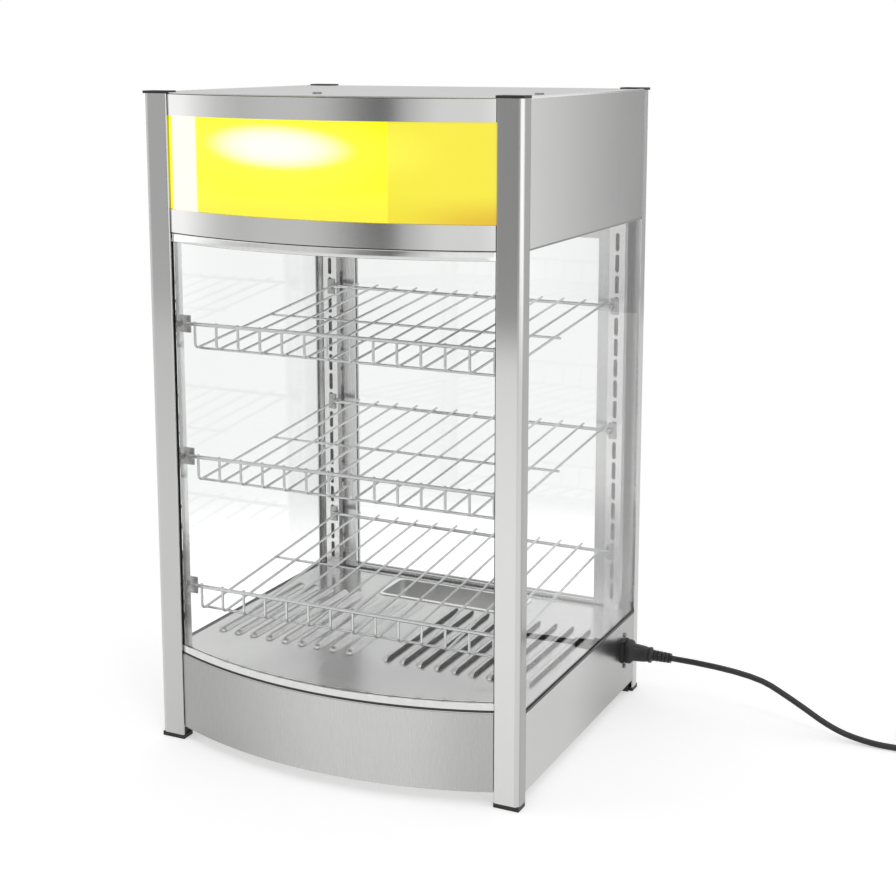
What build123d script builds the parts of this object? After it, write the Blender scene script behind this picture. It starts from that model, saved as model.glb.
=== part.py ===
from build123d import *
import os
from math import ceil, cos, dist, pi, radians, sin, sqrt, tan

# Heated display case: a glazed cabinet on four folded posts, with a bowed front, three wire
# shelves, a louvred floor over a heated base, a lit sign box on top and a door at the back.
# Millimetres. +X right, +Y to the back, +Z up. The origin is on the floor, under the middle of
# the case as measured from the bowed front to the door handle.

os.makedirs("parts", exist_ok=True)

# Case
case_width = 460.0
case_depth = 385.0
case_height = 760.0
bow_rise = 38.0
bow_set = 2.0
handle_reach = 31.0

# Sheet and clearances
sheet = 1.2
flange = 12.0
fit_gap = 0.3
panel_gap = 0.8
pin_gap = 0.05

# Posts
post_width = 30.0
post_depth = 18.0
post_wall = 1.5
post_corner = 5.0
post_bend = 2.0
post_lip = 8.0
foot_height = 5.0
foot_notch = 10.0
foot_tongue = 4.0
cap_height = 3.0
cap_overhang = 0.8
cap_edge = 0.6
insert_length = 12.0

# Levels above the floor
base_bottom = 16.0
deck_level = 106.2
rear_sill = 82.0

# Sign box, from the top down
top_band_height = 24.0
sign_height = 104.0
lower_band_height = 26.0
box_step = 2.0

# Glass
glass_thickness = 4.0
glass_bite = 7.0
sill_height = 7.5
sill_bite = 2.5
bead_height = 10.0
seal_wall = 1.0
seal_height = 2.2
sign_thickness = 3.0
sign_set = 1.5
seam = 2.6
bead_seam = 1.0

# Louvres in the floor
louvre_count = 9
louvre_first = 27.0
louvre_side_inset = 27.0
louvre_start = 84.0
louvre_margin = 12.0
louvre_radius = 10.0
louvre_sink = 5.0

# Water pan
pan_width = 183.0
pan_length = 61.0
pan_depth = 38.0
pan_wall = 1.0
pan_rim = 4.5
pan_corner = 8.0
pan_inset = 33.0
pan_gap = 1.0
pan_bottom_radius = 4.0

# Shelf standards and brackets
standard_width = 20.0
standard_depth = 9.5
standard_wall = 1.5
slot_width = 5.0
slot_length = 22.0
slot_pitch = 26.0
slot_first = 132.0
shelf_slots = {"bottom": 2, "middle": 8, "top": 14}
front_standard_inset = 2.0
rear_standard_inset = -10.0
clip_sheet = 2.0
clip_inset = 7.0
clip_below = 11.0
clip_above = 9.0
tab_half = 1.5
tab_rise = 7.0
tab_drop = 5.0
hook_width = 4.0
hook_sheet = 1.6

# Wire shelves
wire_count = 14
wire_inset = 12.8
wire_radius = 1.5
rail_radius = 2.2
rail_inset = 2.0
cross_inset = 8.5
lip_height = 29.0
wire_bend = 6.0
wire_overrun = 7.0
weld = 0.5
cross_first = 12.0
cross_share = 0.517

# Slots in the bottom plate: pitches across and back, and length, as shares of the case
vent_share = (0.525, 0.25, 0.25)
vent_width = 5.0

# Heater, thermostat and switches
rod_radius = 3.25
rod_level = 50.0
rod_bend = 14.0
rod_inset = 30.0
rod_count = 4
rod_front_inset = 60.0
rod_rear_inset = 100.0
rod_sleeve_wall = 1.5
rod_sleeve_length = 24.0
bracket_share = 0.55
bracket_sheet = 2.0
bracket_foot = 14.0
bracket_reach = 12.0
thermostat_size = 32.0
thermostat_deep = 24.0
shaft_radius = 3.0
knob_radius = 18.0
knob_height = 15.0
control_level = 49.0
knob_place = -110.0
pilot_place = -60.0
pilot_radius = 5.0
pilot_bezel = 7.0
pilot_length = 16.0
switch_places = {"power": 60.0, "light": 110.0}
switch_width = 18.8
switch_height = 26.8
switch_deep = 22.0
bezel_margin = 1.8
bezel_height = 1.8
rocker_width = 13.6
rocker_height = 21.6
rocker_tilt = 8.0
rocker_proud = 5.0
rocker_root = 6.0
terminal_size = (44.0, 20.0, 16.0)
terminal_inset = 55.0

# Lamp
lamp_radius = 13.0
lamp_length = 112.0
lamp_cap_radius = 7.0
lamp_drop = 41.0
lamp_back = 62.0
lamp_inset = 14.0
holder_radius = 15.0
holder_length = 30.0
holder_sheet = 2.0
holder_foot = 28.0

# Top cover screws: the first near the front edge, the second near the right side
cover_screw_share = -0.05
cover_screw_inset = 25.0
cover_screw_back = (28.0, 100.0)
screw_radius = 1.6
screw_length = 9.0
screw_head_radius = 5.0
screw_head_height = 1.8

# Door
door_thickness = 14.0
door_gap = 1.8
door_member = 27.0
handle_radius = 4.5
handle_span = 110.0
handle_level = 350.0
handle_bend = 11.0
handle_foot = 2.5
hinge_insets = (66.0, 63.0)
hinge_height = 50.0
hinge_leaf = 2.0
hinge_leaf_width = 20.0
knuckle_radius = 4.0
hinge_clear = 0.6
pin_radius = 2.0
pin_head = 1.5
catch_inset = 50.0
catch_width = 40.0
catch_depth = 12.0
catch_height = 17.0
strike_sheet = 1.5

# Mains inlet and lead
inlet_inset = 52.0
inlet_level = 66.5
inlet_rim = 2.5
inlet_plate = (50.0, 23.0, 2.0)
inlet_body = (27.2, 19.6, 24.0)
inlet_cavity = (24.8, 16.8, 17.0)
inlet_screw_pitch = 40.0
inlet_screw_head = 3.0
inlet_corner = 5.0
inlet_pin = (14.0, 4.0, 2.0)
inlet_pin_spots = ((-2.0, -7.0), (2.0, 0.0), (-2.0, 7.0))
connector_nose = (24.0, 16.0, 16.0)
connector_head = (28.0, 20.0, 8.0)
connector_grip = (20.0, 17.0, 25.0)
relief_length = 24.0
grip_corner = 5.0
grip_neck = (14.0, 13.0)
cord_diameter = 7.2
coil_reach = 388.0
coil_outer = 51.5
coil_gap = 0.6
coil_wind_turns = 2.75
coil_climb_turns = 0.5
coil_return_turns = 2.5
coil_rise_turns = 0.25
plug_radius = 18.5
plug_length = 36.0
plug_relief = 26.0
plug_pin_radius = 2.4
plug_pin_length = 19.0
plug_pin_spacing = 19.0

# Values that follow from those above
half_width = case_width / 2
inner_half = half_width - post_width
front = -(case_depth + handle_reach - bow_rise) / 2
back = front + case_depth
middle = (front + back) / 2
bow_radius = (inner_half**2 + (bow_rise + bow_set) ** 2) / (2 * (bow_rise + bow_set))
bow_centre = front - bow_rise + bow_radius
panel_half = inner_half - panel_gap
panel_inset = post_depth + fit_gap
post_top = case_height - cap_height
sign_top = post_top - top_band_height
sign_bottom = sign_top - sign_height
band_bottom = sign_bottom - lower_band_height
box_bottom = band_bottom + box_step
lamp_level = sign_top - lamp_drop
lamp_left = lamp_inset - inner_half
cover_level = post_top + sheet
deck_bottom = deck_level - sheet
door_bottom = rear_sill + 2.0
door_top = band_bottom
hinge_levels = (door_bottom + hinge_insets[0], door_top - hinge_insets[1])
catch_place = inner_half - catch_inset
door_half = inner_half - door_gap
door_front = back - door_thickness
glass_x = half_width - post_wall - fit_gap - glass_thickness / 2
glass_inset = 3.0
sill_inset = 1.0
standard_bottom = deck_level + fit_gap
standard_top = band_bottom - fit_gap
slot_count = int((standard_top - slot_length - slot_first) / slot_pitch) + 1
front_web = front + post_depth + standard_depth
rear_web = back - post_depth - standard_depth
front_rail = front_web - rail_radius - fit_gap
rear_rail = rear_web - clip_sheet - rail_radius - fit_gap
pan_middle = back - pan_inset - pan_length / 2
louvre_length = case_depth - louvre_start - louvre_margin - pan_length - pan_inset
louvre_pitch = (half_width - louvre_side_inset - louvre_first) / (louvre_count - 1)
clip_inner = inner_half - clip_inset
wire_pitch = 2 * (inner_half - wire_inset) / (wire_count - 1)
inlet_y = back - inlet_inset
cord_radius = cord_diameter / 2


def save(piece, label):
    """Names a finished piece and writes it as its own file."""
    piece.part.label = label
    export_step(piece.part, f"parts/{label}.step")


def slab(x_range, y_range, z_range, mode=Mode.ADD):
    """A block between two values on each axis, in the current part."""
    spans = [sorted(span) for span in (x_range, y_range, z_range)]
    centre = tuple((low + high) / 2 for low, high in spans)
    with Locations(centre):
        Box(*[high - low for low, high in spans], mode=mode)


def bowed_area(outset, inset, half):
    """The strip between two arcs behind the bowed front line, in the current sketch."""
    with Locations((0, bow_centre)):
        Circle(bow_radius - outset)
        Circle(bow_radius - inset, mode=Mode.SUBTRACT)
    with Locations((0, front - bow_rise - 1)):
        Rectangle(2 * half, 4 * bow_rise, align=(Align.CENTER, Align.MIN), mode=Mode.INTERSECT)


def plan_area(bow_inset, mid_half, rear_edge, wing_half, wing_inset):
    """A level plate's outline: bowed in front, between the posts, with a wing beside each side."""
    with Locations((0, bow_centre)):
        Circle(bow_radius - bow_inset)
    with Locations((0, front - bow_rise - 1)):
        depth = rear_edge - front + bow_rise + 1
        Rectangle(2 * mid_half, depth, align=(Align.CENTER, Align.MIN), mode=Mode.INTERSECT)
    with Locations((0, middle)):
        Rectangle(2 * wing_half, case_depth - 2 * wing_inset)


# Posts, with their caps and feet


def make_post(label, side, rear):
    """One folded post, open towards the cabin, with a lip that carries the shelf standard."""
    face, inward = (back, -1) if rear else (front, 1)
    centre_x = side * (half_width - post_width / 2)
    cavity_corner = (side * (half_width - post_wall), face + inward * post_wall)
    mouth = post_width - post_wall - post_lip
    with BuildPart() as post:
        with BuildSketch(Plane.XY.offset(foot_height)) as section:
            with Locations((centre_x, face + inward * post_depth / 2)):
                Rectangle(post_width, post_depth)
                Rectangle(post_width - 2 * post_wall, post_depth - 2 * post_wall, mode=Mode.SUBTRACT)
            mouth_x = side * (inner_half + post_lip + mouth / 2)
            with Locations((mouth_x, face + inward * (post_depth - post_wall / 2))):
                Rectangle(mouth, post_wall, mode=Mode.SUBTRACT)
            near = section.vertices().sort_by_distance((side * half_width, face))
            fillet(near[0], post_corner)
            near = section.vertices().sort_by_distance(cavity_corner)
            fillet(near[0], post_corner - post_wall)
            near = section.vertices().sort_by_distance((side * inner_half, face))
            fillet(near[0], post_bend)
        extrude(amount=post_top - foot_height)
        slab(
            (side * (inner_half - 1), side * (inner_half + post_lip)),
            (face + inward * post_wall, face + inward * (post_depth + 1)),
            (foot_height - 1, foot_height + foot_notch),
            mode=Mode.SUBTRACT,
        )
    save(post, label)


def post_corners():
    """Side, face and inward direction of the four posts."""
    return [(side, face, inward) for side in (-1, 1) for face, inward in ((front, 1), (back, -1))]


def insert_block(side, face, inward, low, high):
    """The plug of a cap or foot inside its post."""
    slab(
        (side * (inner_half + post_wall + fit_gap), side * (half_width - post_corner)),
        (face + inward * (post_wall + fit_gap), face + inward * (post_depth - post_wall - fit_gap)),
        (low, high),
    )


for end_label, end_rear in (("front", False), ("rear", True)):
    for side_label, side_sign in (("left", -1), ("right", 1)):
        make_post(f"post_{end_label}_{side_label}", side_sign, end_rear)

with BuildPart() as post_caps:
    for side, face, inward in post_corners():
        insert_block(side, face, inward, post_top - insert_length, post_top)
        slab(
            (side * (inner_half - cap_overhang), side * (half_width + cap_overhang)),
            (face - inward * cap_overhang, face + inward * (post_depth + cap_overhang)),
            (post_top, case_height),
        )
    fillet(post_caps.faces().sort_by(Axis.Z)[-4:].edges(), cap_edge)
save(post_caps, "post_caps")

with BuildPart() as post_feet:
    for side, face, inward in post_corners():
        insert_block(side, face, inward, foot_height, foot_height + insert_length)
        slab(
            (side * inner_half, side * half_width),
            (face, face + inward * post_depth),
            (0, foot_height),
        )
        slab(
            (side * (inner_half + post_lip + fit_gap), side * (half_width - post_corner)),
            (face + inward * post_wall * 2, face + inward * (post_depth + foot_tongue)),
            (0, base_bottom - 1),
        )
save(post_feet, "post_feet")

# Base: bowed front panel, side and rear panels, bottom plate


def make_bowed_panel(label, bottom, top):
    """A bowed front panel of folded sheet, with a flange along each of its four edges."""
    with BuildPart() as panel:
        with BuildSketch(Plane.XY.offset(bottom)):
            bowed_area(0, flange, panel_half)
        extrude(amount=top - bottom)
        with BuildSketch(Plane.XY.offset(bottom + sheet)):
            bowed_area(sheet, 2 * flange, panel_half - sheet)
        extrude(amount=top - bottom - 2 * sheet, mode=Mode.SUBTRACT)
    save(panel, label)


def side_tray(side, bottom, top):
    """A flat side panel of folded sheet, open inwards, in the current part."""
    slab(
        (side * (half_width - flange), side * half_width),
        (front + panel_inset, back - panel_inset),
        (bottom, top),
    )
    slab(
        (side * (half_width - flange - 1), side * (half_width - sheet)),
        (front + panel_inset + sheet, back - panel_inset - sheet),
        (bottom + sheet, top - sheet),
        mode=Mode.SUBTRACT,
    )


def rear_tray(bottom, top):
    """A flat rear panel of folded sheet, open forwards, in the current part."""
    slab((-panel_half, panel_half), (back - post_depth, back), (bottom, top))
    slab(
        (sheet - panel_half, panel_half - sheet),
        (back - post_depth - 1, back - sheet),
        (bottom + sheet, top - sheet),
        mode=Mode.SUBTRACT,
    )


make_bowed_panel("base_front_panel", base_bottom, deck_bottom)

with BuildPart() as base_side_panel_left:
    side_tray(-1, base_bottom, deck_bottom)
save(base_side_panel_left, "base_side_panel_left")

with BuildPart() as base_side_panel_right:
    side_tray(1, base_bottom, deck_bottom)
    with Locations((half_width, inlet_y, inlet_level)):
        Box(4 * sheet, inlet_body[1] + 2 * fit_gap, inlet_body[0] + 2 * fit_gap, mode=Mode.SUBTRACT)
    for step in (-0.5, 0.5):
        with Locations((half_width, inlet_y, inlet_level + step * inlet_screw_pitch)):
            Cylinder(screw_radius + fit_gap, 4 * sheet, rotation=(0, 90, 0), mode=Mode.SUBTRACT)
save(base_side_panel_right, "base_side_panel_right")

with BuildPart() as base_rear_panel:
    rear_tray(base_bottom, rear_sill)
    for place, hole in ((knob_place, shaft_radius + 2), (pilot_place, pilot_radius + fit_gap)):
        with Locations((place, back, control_level)):
            Cylinder(hole, 4 * sheet, rotation=(90, 0, 0), mode=Mode.SUBTRACT)
    for place in switch_places.values():
        with Locations((place, back, control_level)):
            cut_width = switch_width + 2 * fit_gap
            Box(cut_width, 4 * sheet, switch_height + 2 * fit_gap, mode=Mode.SUBTRACT)
save(base_rear_panel, "base_rear_panel")

plate_inset = panel_inset + sheet + fit_gap
with BuildPart() as base_bottom_plate:
    with BuildSketch(Plane.XY.offset(base_bottom + sheet)):
        plan_area(
            sheet + fit_gap,
            panel_half - sheet - fit_gap,
            back - sheet - fit_gap,
            half_width - sheet - fit_gap,
            plate_inset,
        )
        with Locations((0, middle)):
            with GridLocations(vent_share[0] * inner_half, vent_share[1] * case_depth, 4, 2):
                SlotOverall(vent_share[2] * inner_half, vent_width, mode=Mode.SUBTRACT)
    extrude(amount=sheet)
save(base_bottom_plate, "base_bottom_plate")

# Cabin floor with pressed louvres, and the water pan in it

louvre_straight = louvre_length - 2 * sqrt(louvre_radius**2 - louvre_sink**2)


def louvre_profile(radius):
    """Half of a shallow arch over the floor, in the current sketch."""
    with Locations((0, -louvre_sink)):
        Circle(radius)
    with Locations((-radius, -sheet)):
        Rectangle(2 * radius, 2 * radius, align=(Align.CENTER, Align.MIN), mode=Mode.INTERSECT)


def louvre_form(radius):
    """The long form under one louvre's hood, open on its +X side, with a rounded end each way."""
    with BuildPart() as form:
        with BuildSketch(Plane.XZ):
            louvre_profile(radius)
        extrude(amount=louvre_straight / 2, both=True)
        for end in (-1, 1):
            place = end * louvre_straight / 2
            with BuildSketch(Plane.XZ.offset(-place)):
                louvre_profile(radius)
            revolve(axis=Axis((0, place, 0), (0, 0, -end)), revolution_arc=90)
    return form.part


with BuildPart() as deck_plate:
    with BuildSketch(Plane.XY.offset(deck_bottom)):
        rear_edge = back - panel_inset
        wing = glass_x - glass_thickness / 2 - seal_wall - fit_gap
        plan_area(2 * fit_gap, panel_half, rear_edge, wing, panel_inset)
        with Locations((0, pan_middle)):
            opening = (pan_width + 2 * pan_gap, pan_length + 2 * pan_gap)
            RectangleRounded(*opening, pan_corner, mode=Mode.SUBTRACT)
    extrude(amount=sheet)
    slab((-panel_half, panel_half), (rear_edge - sheet, rear_edge), (rear_sill - 2 * sheet, deck_bottom))
    hood = louvre_form(louvre_radius)
    hollow = louvre_form(louvre_radius - sheet)
    for side in (-1, 1):
        turn = 0 if side > 0 else 180
        spots = [
            Location(
                (
                    side * (louvre_first + index * louvre_pitch),
                    front + louvre_start + louvre_length / 2,
                    deck_level,
                ),
                (0, 0, turn),
            )
            for index in range(louvre_count)
        ]
        with Locations(*spots):
            add(hood)
            add(hollow, mode=Mode.SUBTRACT)
save(deck_plate, "deck_plate")

with BuildPart() as water_pan:
    pan_top = deck_level + 0.2
    with BuildSketch(Plane.XY.offset(pan_top + pan_wall)):
        with Locations((0, pan_middle)):
            RectangleRounded(pan_width, pan_length, pan_corner)
    extrude(amount=-pan_depth)
    fillet(water_pan.faces().sort_by(Axis.Z)[0].edges(), pan_bottom_radius)
    offset(amount=-pan_wall, openings=water_pan.faces().sort_by(Axis.Z)[-1])
    with BuildSketch(Plane.XY.offset(pan_top)):
        with Locations((0, pan_middle)):
            rim_corner = pan_corner + pan_rim
            RectangleRounded(pan_width + 2 * pan_rim, pan_length + 2 * pan_rim, rim_corner)
            RectangleRounded(pan_width - pan_wall, pan_length - pan_wall, pan_corner, mode=Mode.SUBTRACT)
    extrude(amount=pan_wall)
save(water_pan, "water_pan")

# Heater under the floor

rod_end = inner_half - rod_inset
rod_pitch = (case_depth - rod_front_inset - rod_rear_inset) / (rod_count - 1)
rod_rows = [front + rod_front_inset + index * rod_pitch for index in range(rod_count)]
with BuildPart() as heating_element:
    with BuildLine(Plane.XY.offset(rod_level)) as rod_path:
        corners = []
        for index, row in enumerate(rod_rows):
            ends = (rod_end, -rod_end) if index % 2 == 0 else (-rod_end, rod_end)
            corners += [(end, row) for end in ends]
        FilletPolyline(*corners, radius=rod_bend)
    with BuildSketch(Plane(origin=rod_path.line @ 0, z_dir=rod_path.line % 0)):
        Circle(rod_radius)
    sweep()
    for row in (rod_rows[0], rod_rows[-1]):
        with Locations((rod_end, row, rod_level)):
            Cylinder(rod_radius + rod_sleeve_wall, rod_sleeve_length, rotation=(0, 90, 0))
save(heating_element, "heating_element")

with BuildPart() as element_brackets:
    floor_level = base_bottom + 2 * sheet
    bracket_y = (rod_rows[0] - bracket_reach, rod_rows[-1] + bracket_reach)
    notch = rod_radius + fit_gap
    bracket_spread = bracket_share * inner_half
    for place in (-bracket_spread, 0, bracket_spread):
        slab((place, place + bracket_sheet), bracket_y, (floor_level, rod_level + 1))
        slab((place, place + bracket_foot), bracket_y, (floor_level, floor_level + bracket_sheet))
        for row in rod_rows:
            with Locations((place, row, rod_level)):
                Cylinder(notch, 4 * bracket_sheet, rotation=(0, 90, 0), mode=Mode.SUBTRACT)
            slab(
                (place - 1, place + bracket_sheet + 1),
                (row - notch, row + notch),
                (rod_level, rod_level + 2 * notch),
                mode=Mode.SUBTRACT,
            )
save(element_brackets, "element_brackets")

# Controls in the rear of the base

with BuildPart() as thermostat:
    with Locations((knob_place, back - sheet - thermostat_deep / 2, control_level)):
        Box(thermostat_size, thermostat_deep, thermostat_size)
        Cylinder(shaft_radius + pin_gap, 2 * thermostat_deep, rotation=(90, 0, 0), mode=Mode.SUBTRACT)
    chamfer(thermostat.edges().filter_by(Axis.Y).filter_by(GeomType.LINE), 2)
save(thermostat, "thermostat")

with BuildPart() as thermostat_shaft:
    with BuildSketch(Plane.XZ.offset(-(back - sheet - thermostat_deep / 2))):
        with Locations((knob_place, control_level)):
            Circle(shaft_radius)
    extrude(amount=-(thermostat_deep / 2 + sheet + knob_height - 4))
save(thermostat_shaft, "thermostat_shaft")

with BuildPart() as thermostat_knob:
    with BuildSketch(Plane.XZ.offset(-(back + 1))):
        with Locations((knob_place, control_level)):
            Circle(knob_radius)
            with PolarLocations(knob_radius + 1.2, 18):
                Circle(2.2, mode=Mode.SUBTRACT)
    extrude(amount=-knob_height, taper=2)
    with Locations((knob_place, back + 1, control_level)):
        bore_depth = 2 * (knob_height - 4)
        Cylinder(shaft_radius + pin_gap, bore_depth, rotation=(90, 0, 0), mode=Mode.SUBTRACT)
    top = back + 1 + knob_height
    slab(
        (knob_place - 0.8, knob_place + 0.8),
        (top - 0.3, top + 0.6),
        (control_level + 5, control_level + knob_radius - 4),
    )
save(thermostat_knob, "thermostat_knob")

with BuildPart() as switch_housings:
    for place in switch_places.values():
        with Locations((place, back + bezel_height / 2, control_level)):
            Box(switch_width + 2 * bezel_margin, bezel_height, switch_height + 2 * bezel_margin)
        with Locations((place, back - switch_deep / 2, control_level)):
            Box(switch_width, switch_deep, switch_height)
        with Locations((place, back + bezel_height, control_level)):
            Box(rocker_width + 1, 30, rocker_height + 2.4, mode=Mode.SUBTRACT)
save(switch_housings, "switch_housings")


def make_rocker(label, place):
    """A rocker with two sloping faces, lying with its lower half pressed in."""
    half = rocker_height / 2
    pivot_y = back - 1.0
    dip = 0.7 * rocker_proud
    outline = [
        (-rocker_root, 2 - half),
        (rocker_proud, -half),
        (dip, 0),
        (rocker_proud, half),
        (-rocker_root, half - 2),
    ]
    tilt = radians(-rocker_tilt)
    turned = [
        (pivot_y + y * cos(tilt) - z * sin(tilt), control_level + y * sin(tilt) + z * cos(tilt))
        for y, z in outline
    ]
    with BuildPart() as rocker:
        with BuildSketch(Plane.YZ.offset(place - rocker_width / 2)):
            with BuildLine():
                Polyline(*turned, close=True)
            make_face()
        extrude(amount=rocker_width)
        fillet(rocker.edges().filter_by(Axis.X), 0.5)
    save(rocker, label)


for switch_label, switch_place in switch_places.items():
    make_rocker(f"{switch_label}_rocker", switch_place)

with BuildPart() as pilot_lamp:
    with Locations(Plane((pilot_place, back, control_level), z_dir=(0, 1, 0))):
        with Locations((0, 0, -pilot_length / 2)):
            Cylinder(pilot_radius, pilot_length)
        with Locations((0, 0, 1)):
            Cylinder(pilot_bezel, 2)
        with Locations((0, 0, 3)):
            Cylinder(pilot_radius, 2)
    fillet(pilot_lamp.faces().sort_by(Axis.Y)[-1].edges(), 1.9)
save(pilot_lamp, "pilot_lamp")

with BuildPart() as terminal_block:
    terminal_middle = base_bottom + 2 * sheet + terminal_size[2] / 2
    with Locations((inner_half - terminal_inset, inlet_y, terminal_middle)):
        Box(*terminal_size)
        with Locations((0, 0, terminal_size[2] / 2)):
            with GridLocations(terminal_size[0] / 3, terminal_size[1] / 2, 3, 2):
                Cylinder(2.2, terminal_size[2], mode=Mode.SUBTRACT)
save(terminal_block, "terminal_block")

# Mains inlet in the right side of the base

with BuildPart() as power_inlet:
    with Locations((half_width - sheet - inlet_plate[2] / 2, inlet_y, inlet_level)):
        Box(inlet_plate[2], inlet_plate[1], inlet_plate[0])
    fillet(power_inlet.edges().filter_by(Axis.X), inlet_corner)
    mouth_x = half_width + inlet_rim
    slab(
        (half_width - inlet_body[2], mouth_x),
        (inlet_y - inlet_body[1] / 2, inlet_y + inlet_body[1] / 2),
        (inlet_level - inlet_body[0] / 2, inlet_level + inlet_body[0] / 2),
    )
    slab(
        (mouth_x - inlet_cavity[2], mouth_x + 1),
        (inlet_y - inlet_cavity[1] / 2, inlet_y + inlet_cavity[1] / 2),
        (inlet_level - inlet_cavity[0] / 2, inlet_level + inlet_cavity[0] / 2),
        mode=Mode.SUBTRACT,
    )
    pin_middle = mouth_x - inlet_cavity[2] + inlet_pin[0] / 2 - 1
    for pin_y, pin_z in inlet_pin_spots:
        with Locations((pin_middle, inlet_y + pin_y, inlet_level + pin_z)):
            Box(*inlet_pin)
    for step in (-0.5, 0.5):
        with Locations((half_width, inlet_y, inlet_level + step * inlet_screw_pitch)):
            Cylinder(screw_radius + fit_gap, 20, rotation=(0, 90, 0), mode=Mode.SUBTRACT)
save(power_inlet, "power_inlet")

with BuildPart() as inlet_screws:
    head_height = screw_radius
    for step in (-0.5, 0.5):
        with Locations((half_width, inlet_y, inlet_level + step * inlet_screw_pitch)):
            with Locations((-screw_length / 2, 0, 0)):
                Cylinder(screw_radius, screw_length, rotation=(0, 90, 0))
            with Locations((head_height / 2, 0, 0)):
                Cylinder(inlet_screw_head, head_height, rotation=(0, 90, 0))
            with Locations((head_height, 0, 0)):
                Box(1.2, 4.4, 0.9, mode=Mode.SUBTRACT)
save(inlet_screws, "inlet_screws")

# Sign box on top

make_bowed_panel("lower_front_band", band_bottom, sign_bottom)
make_bowed_panel("top_front_band", sign_top, post_top - panel_gap)

with BuildPart() as light_panel:
    with BuildSketch(Plane.XY.offset(sign_bottom + fit_gap)):
        bowed_area(sign_set, sign_set + sign_thickness, panel_half)
    extrude(amount=sign_top - sign_bottom - 2 * fit_gap)
save(light_panel, "light_panel")

with BuildPart() as upper_side_panel_left:
    side_tray(-1, box_bottom, post_top)
save(upper_side_panel_left, "upper_side_panel_left")

with BuildPart() as upper_side_panel_right:
    side_tray(1, box_bottom, post_top)
save(upper_side_panel_right, "upper_side_panel_right")

with BuildPart() as upper_rear_panel:
    rear_tray(box_bottom, post_top)
save(upper_rear_panel, "upper_rear_panel")

cover_spots = [
    (cover_screw_share * case_width, front + cover_screw_back[0]),
    (half_width - cover_screw_inset, front + cover_screw_back[1]),
]
with BuildPart() as top_cover:
    with BuildSketch(Plane.XY.offset(post_top)):
        plan_area(0, inner_half - cap_overhang - fit_gap, back, half_width, panel_inset + cap_overhang)
        with Locations(*cover_spots):
            Circle(screw_radius + fit_gap, mode=Mode.SUBTRACT)
    extrude(amount=sheet)
save(top_cover, "top_cover")

with BuildPart() as cover_screws:
    with Locations(*[(*spot, cover_level) for spot in cover_spots]):
        with Locations((0, 0, -screw_length / 2)):
            Cylinder(screw_radius, screw_length)
        with Locations((0, 0, screw_head_height / 2)):
            Cylinder(screw_head_radius, screw_head_height)
    fillet(cover_screws.faces().sort_by(Axis.Z)[-2:].edges(), 0.8)
save(cover_screws, "cover_screws")

with BuildPart() as ceiling_plate:
    with BuildSketch(Plane.XY.offset(box_bottom + sheet)):
        plan_area(
            flange + fit_gap,
            panel_half - sheet - fit_gap,
            back - sheet - fit_gap,
            half_width - sheet - fit_gap,
            plate_inset,
        )
    extrude(amount=sheet)
save(ceiling_plate, "ceiling_plate")

holder_floor = box_bottom + 2 * sheet
lamp_y = front + lamp_back
with BuildPart() as lamp_holder:
    foot_y = (lamp_y - holder_foot / 2, lamp_y + holder_foot / 2)
    holder_top = lamp_level + holder_radius + 2
    slab((lamp_left, lamp_left + holder_foot), foot_y, (holder_floor, holder_floor + holder_sheet))
    slab((lamp_left, lamp_left + holder_sheet), foot_y, (holder_floor, holder_top))
    with Locations((lamp_left + holder_sheet + holder_length / 2, lamp_y, lamp_level)):
        Cylinder(holder_radius, holder_length, rotation=(0, 90, 0))
    bore_start = lamp_left + 4 * holder_sheet
    with Locations((bore_start + holder_length / 2, lamp_y, lamp_level)):
        Cylinder(lamp_cap_radius + fit_gap, holder_length, rotation=(0, 90, 0), mode=Mode.SUBTRACT)
save(lamp_holder, "lamp_holder")

with BuildPart() as lamp:
    with BuildSketch(Plane.XY.offset(lamp_level)):
        with BuildLine():
            start = bore_start + fit_gap
            neck = lamp_left + holder_sheet + holder_length + fit_gap
            end = neck + lamp_length
            shoulder = end - lamp_radius
            tilt = lamp_radius * sqrt(0.5)
            bulb_edge = lamp_y + lamp_radius
            outline = [
                (shoulder, bulb_edge),
                (neck + lamp_radius / 2, bulb_edge),
                (neck, lamp_y + lamp_cap_radius),
                (start, lamp_y + lamp_cap_radius),
                (start, lamp_y),
                (end, lamp_y),
            ]
            Polyline(*outline)
            ThreePointArc((end, lamp_y), (shoulder + tilt, lamp_y + tilt), (shoulder, bulb_edge))
        make_face()
    revolve(axis=Axis((start, lamp_y, lamp_level), (1, 0, 0)))
save(lamp, "lamp")

# Glass, its sill, bead and seals

sill_bottom = deck_level + seam
sill_top = sill_bottom + sill_height
bead_top = band_bottom - bead_seam
bead_bottom = bead_top - bead_height
glass_bottom = sill_top - sill_bite + fit_gap
glass_top = bead_top - sheet - fit_gap
glass_rear = glass_inset + glass_thickness
glass_half = panel_half - seal_wall - pin_gap


def make_glass_channel(label, bottom, top, slot_bottom, slot_top):
    """A bowed channel that holds one edge of the front glass."""
    with BuildPart() as channel:
        with BuildSketch(Plane.XY.offset(bottom)):
            bowed_area(sill_inset, glass_rear + glass_inset - sill_inset, panel_half)
        extrude(amount=top - bottom)
        with BuildSketch(Plane.XY.offset(slot_bottom)):
            bowed_area(glass_inset - fit_gap, glass_rear + fit_gap, inner_half)
        extrude(amount=slot_top - slot_bottom, mode=Mode.SUBTRACT)
    save(channel, label)


with BuildPart() as front_glass:
    with BuildSketch(Plane.XY.offset(glass_bottom)):
        bowed_area(glass_inset, glass_rear, glass_half)
    extrude(amount=glass_top - glass_bottom)
save(front_glass, "front_glass")

make_glass_channel("front_glass_sill", sill_bottom, sill_top, sill_top - sill_bite, sill_top + 1)
make_glass_channel("front_glass_bead", bead_bottom, bead_top, bead_bottom - 1, bead_top - sheet)

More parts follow.
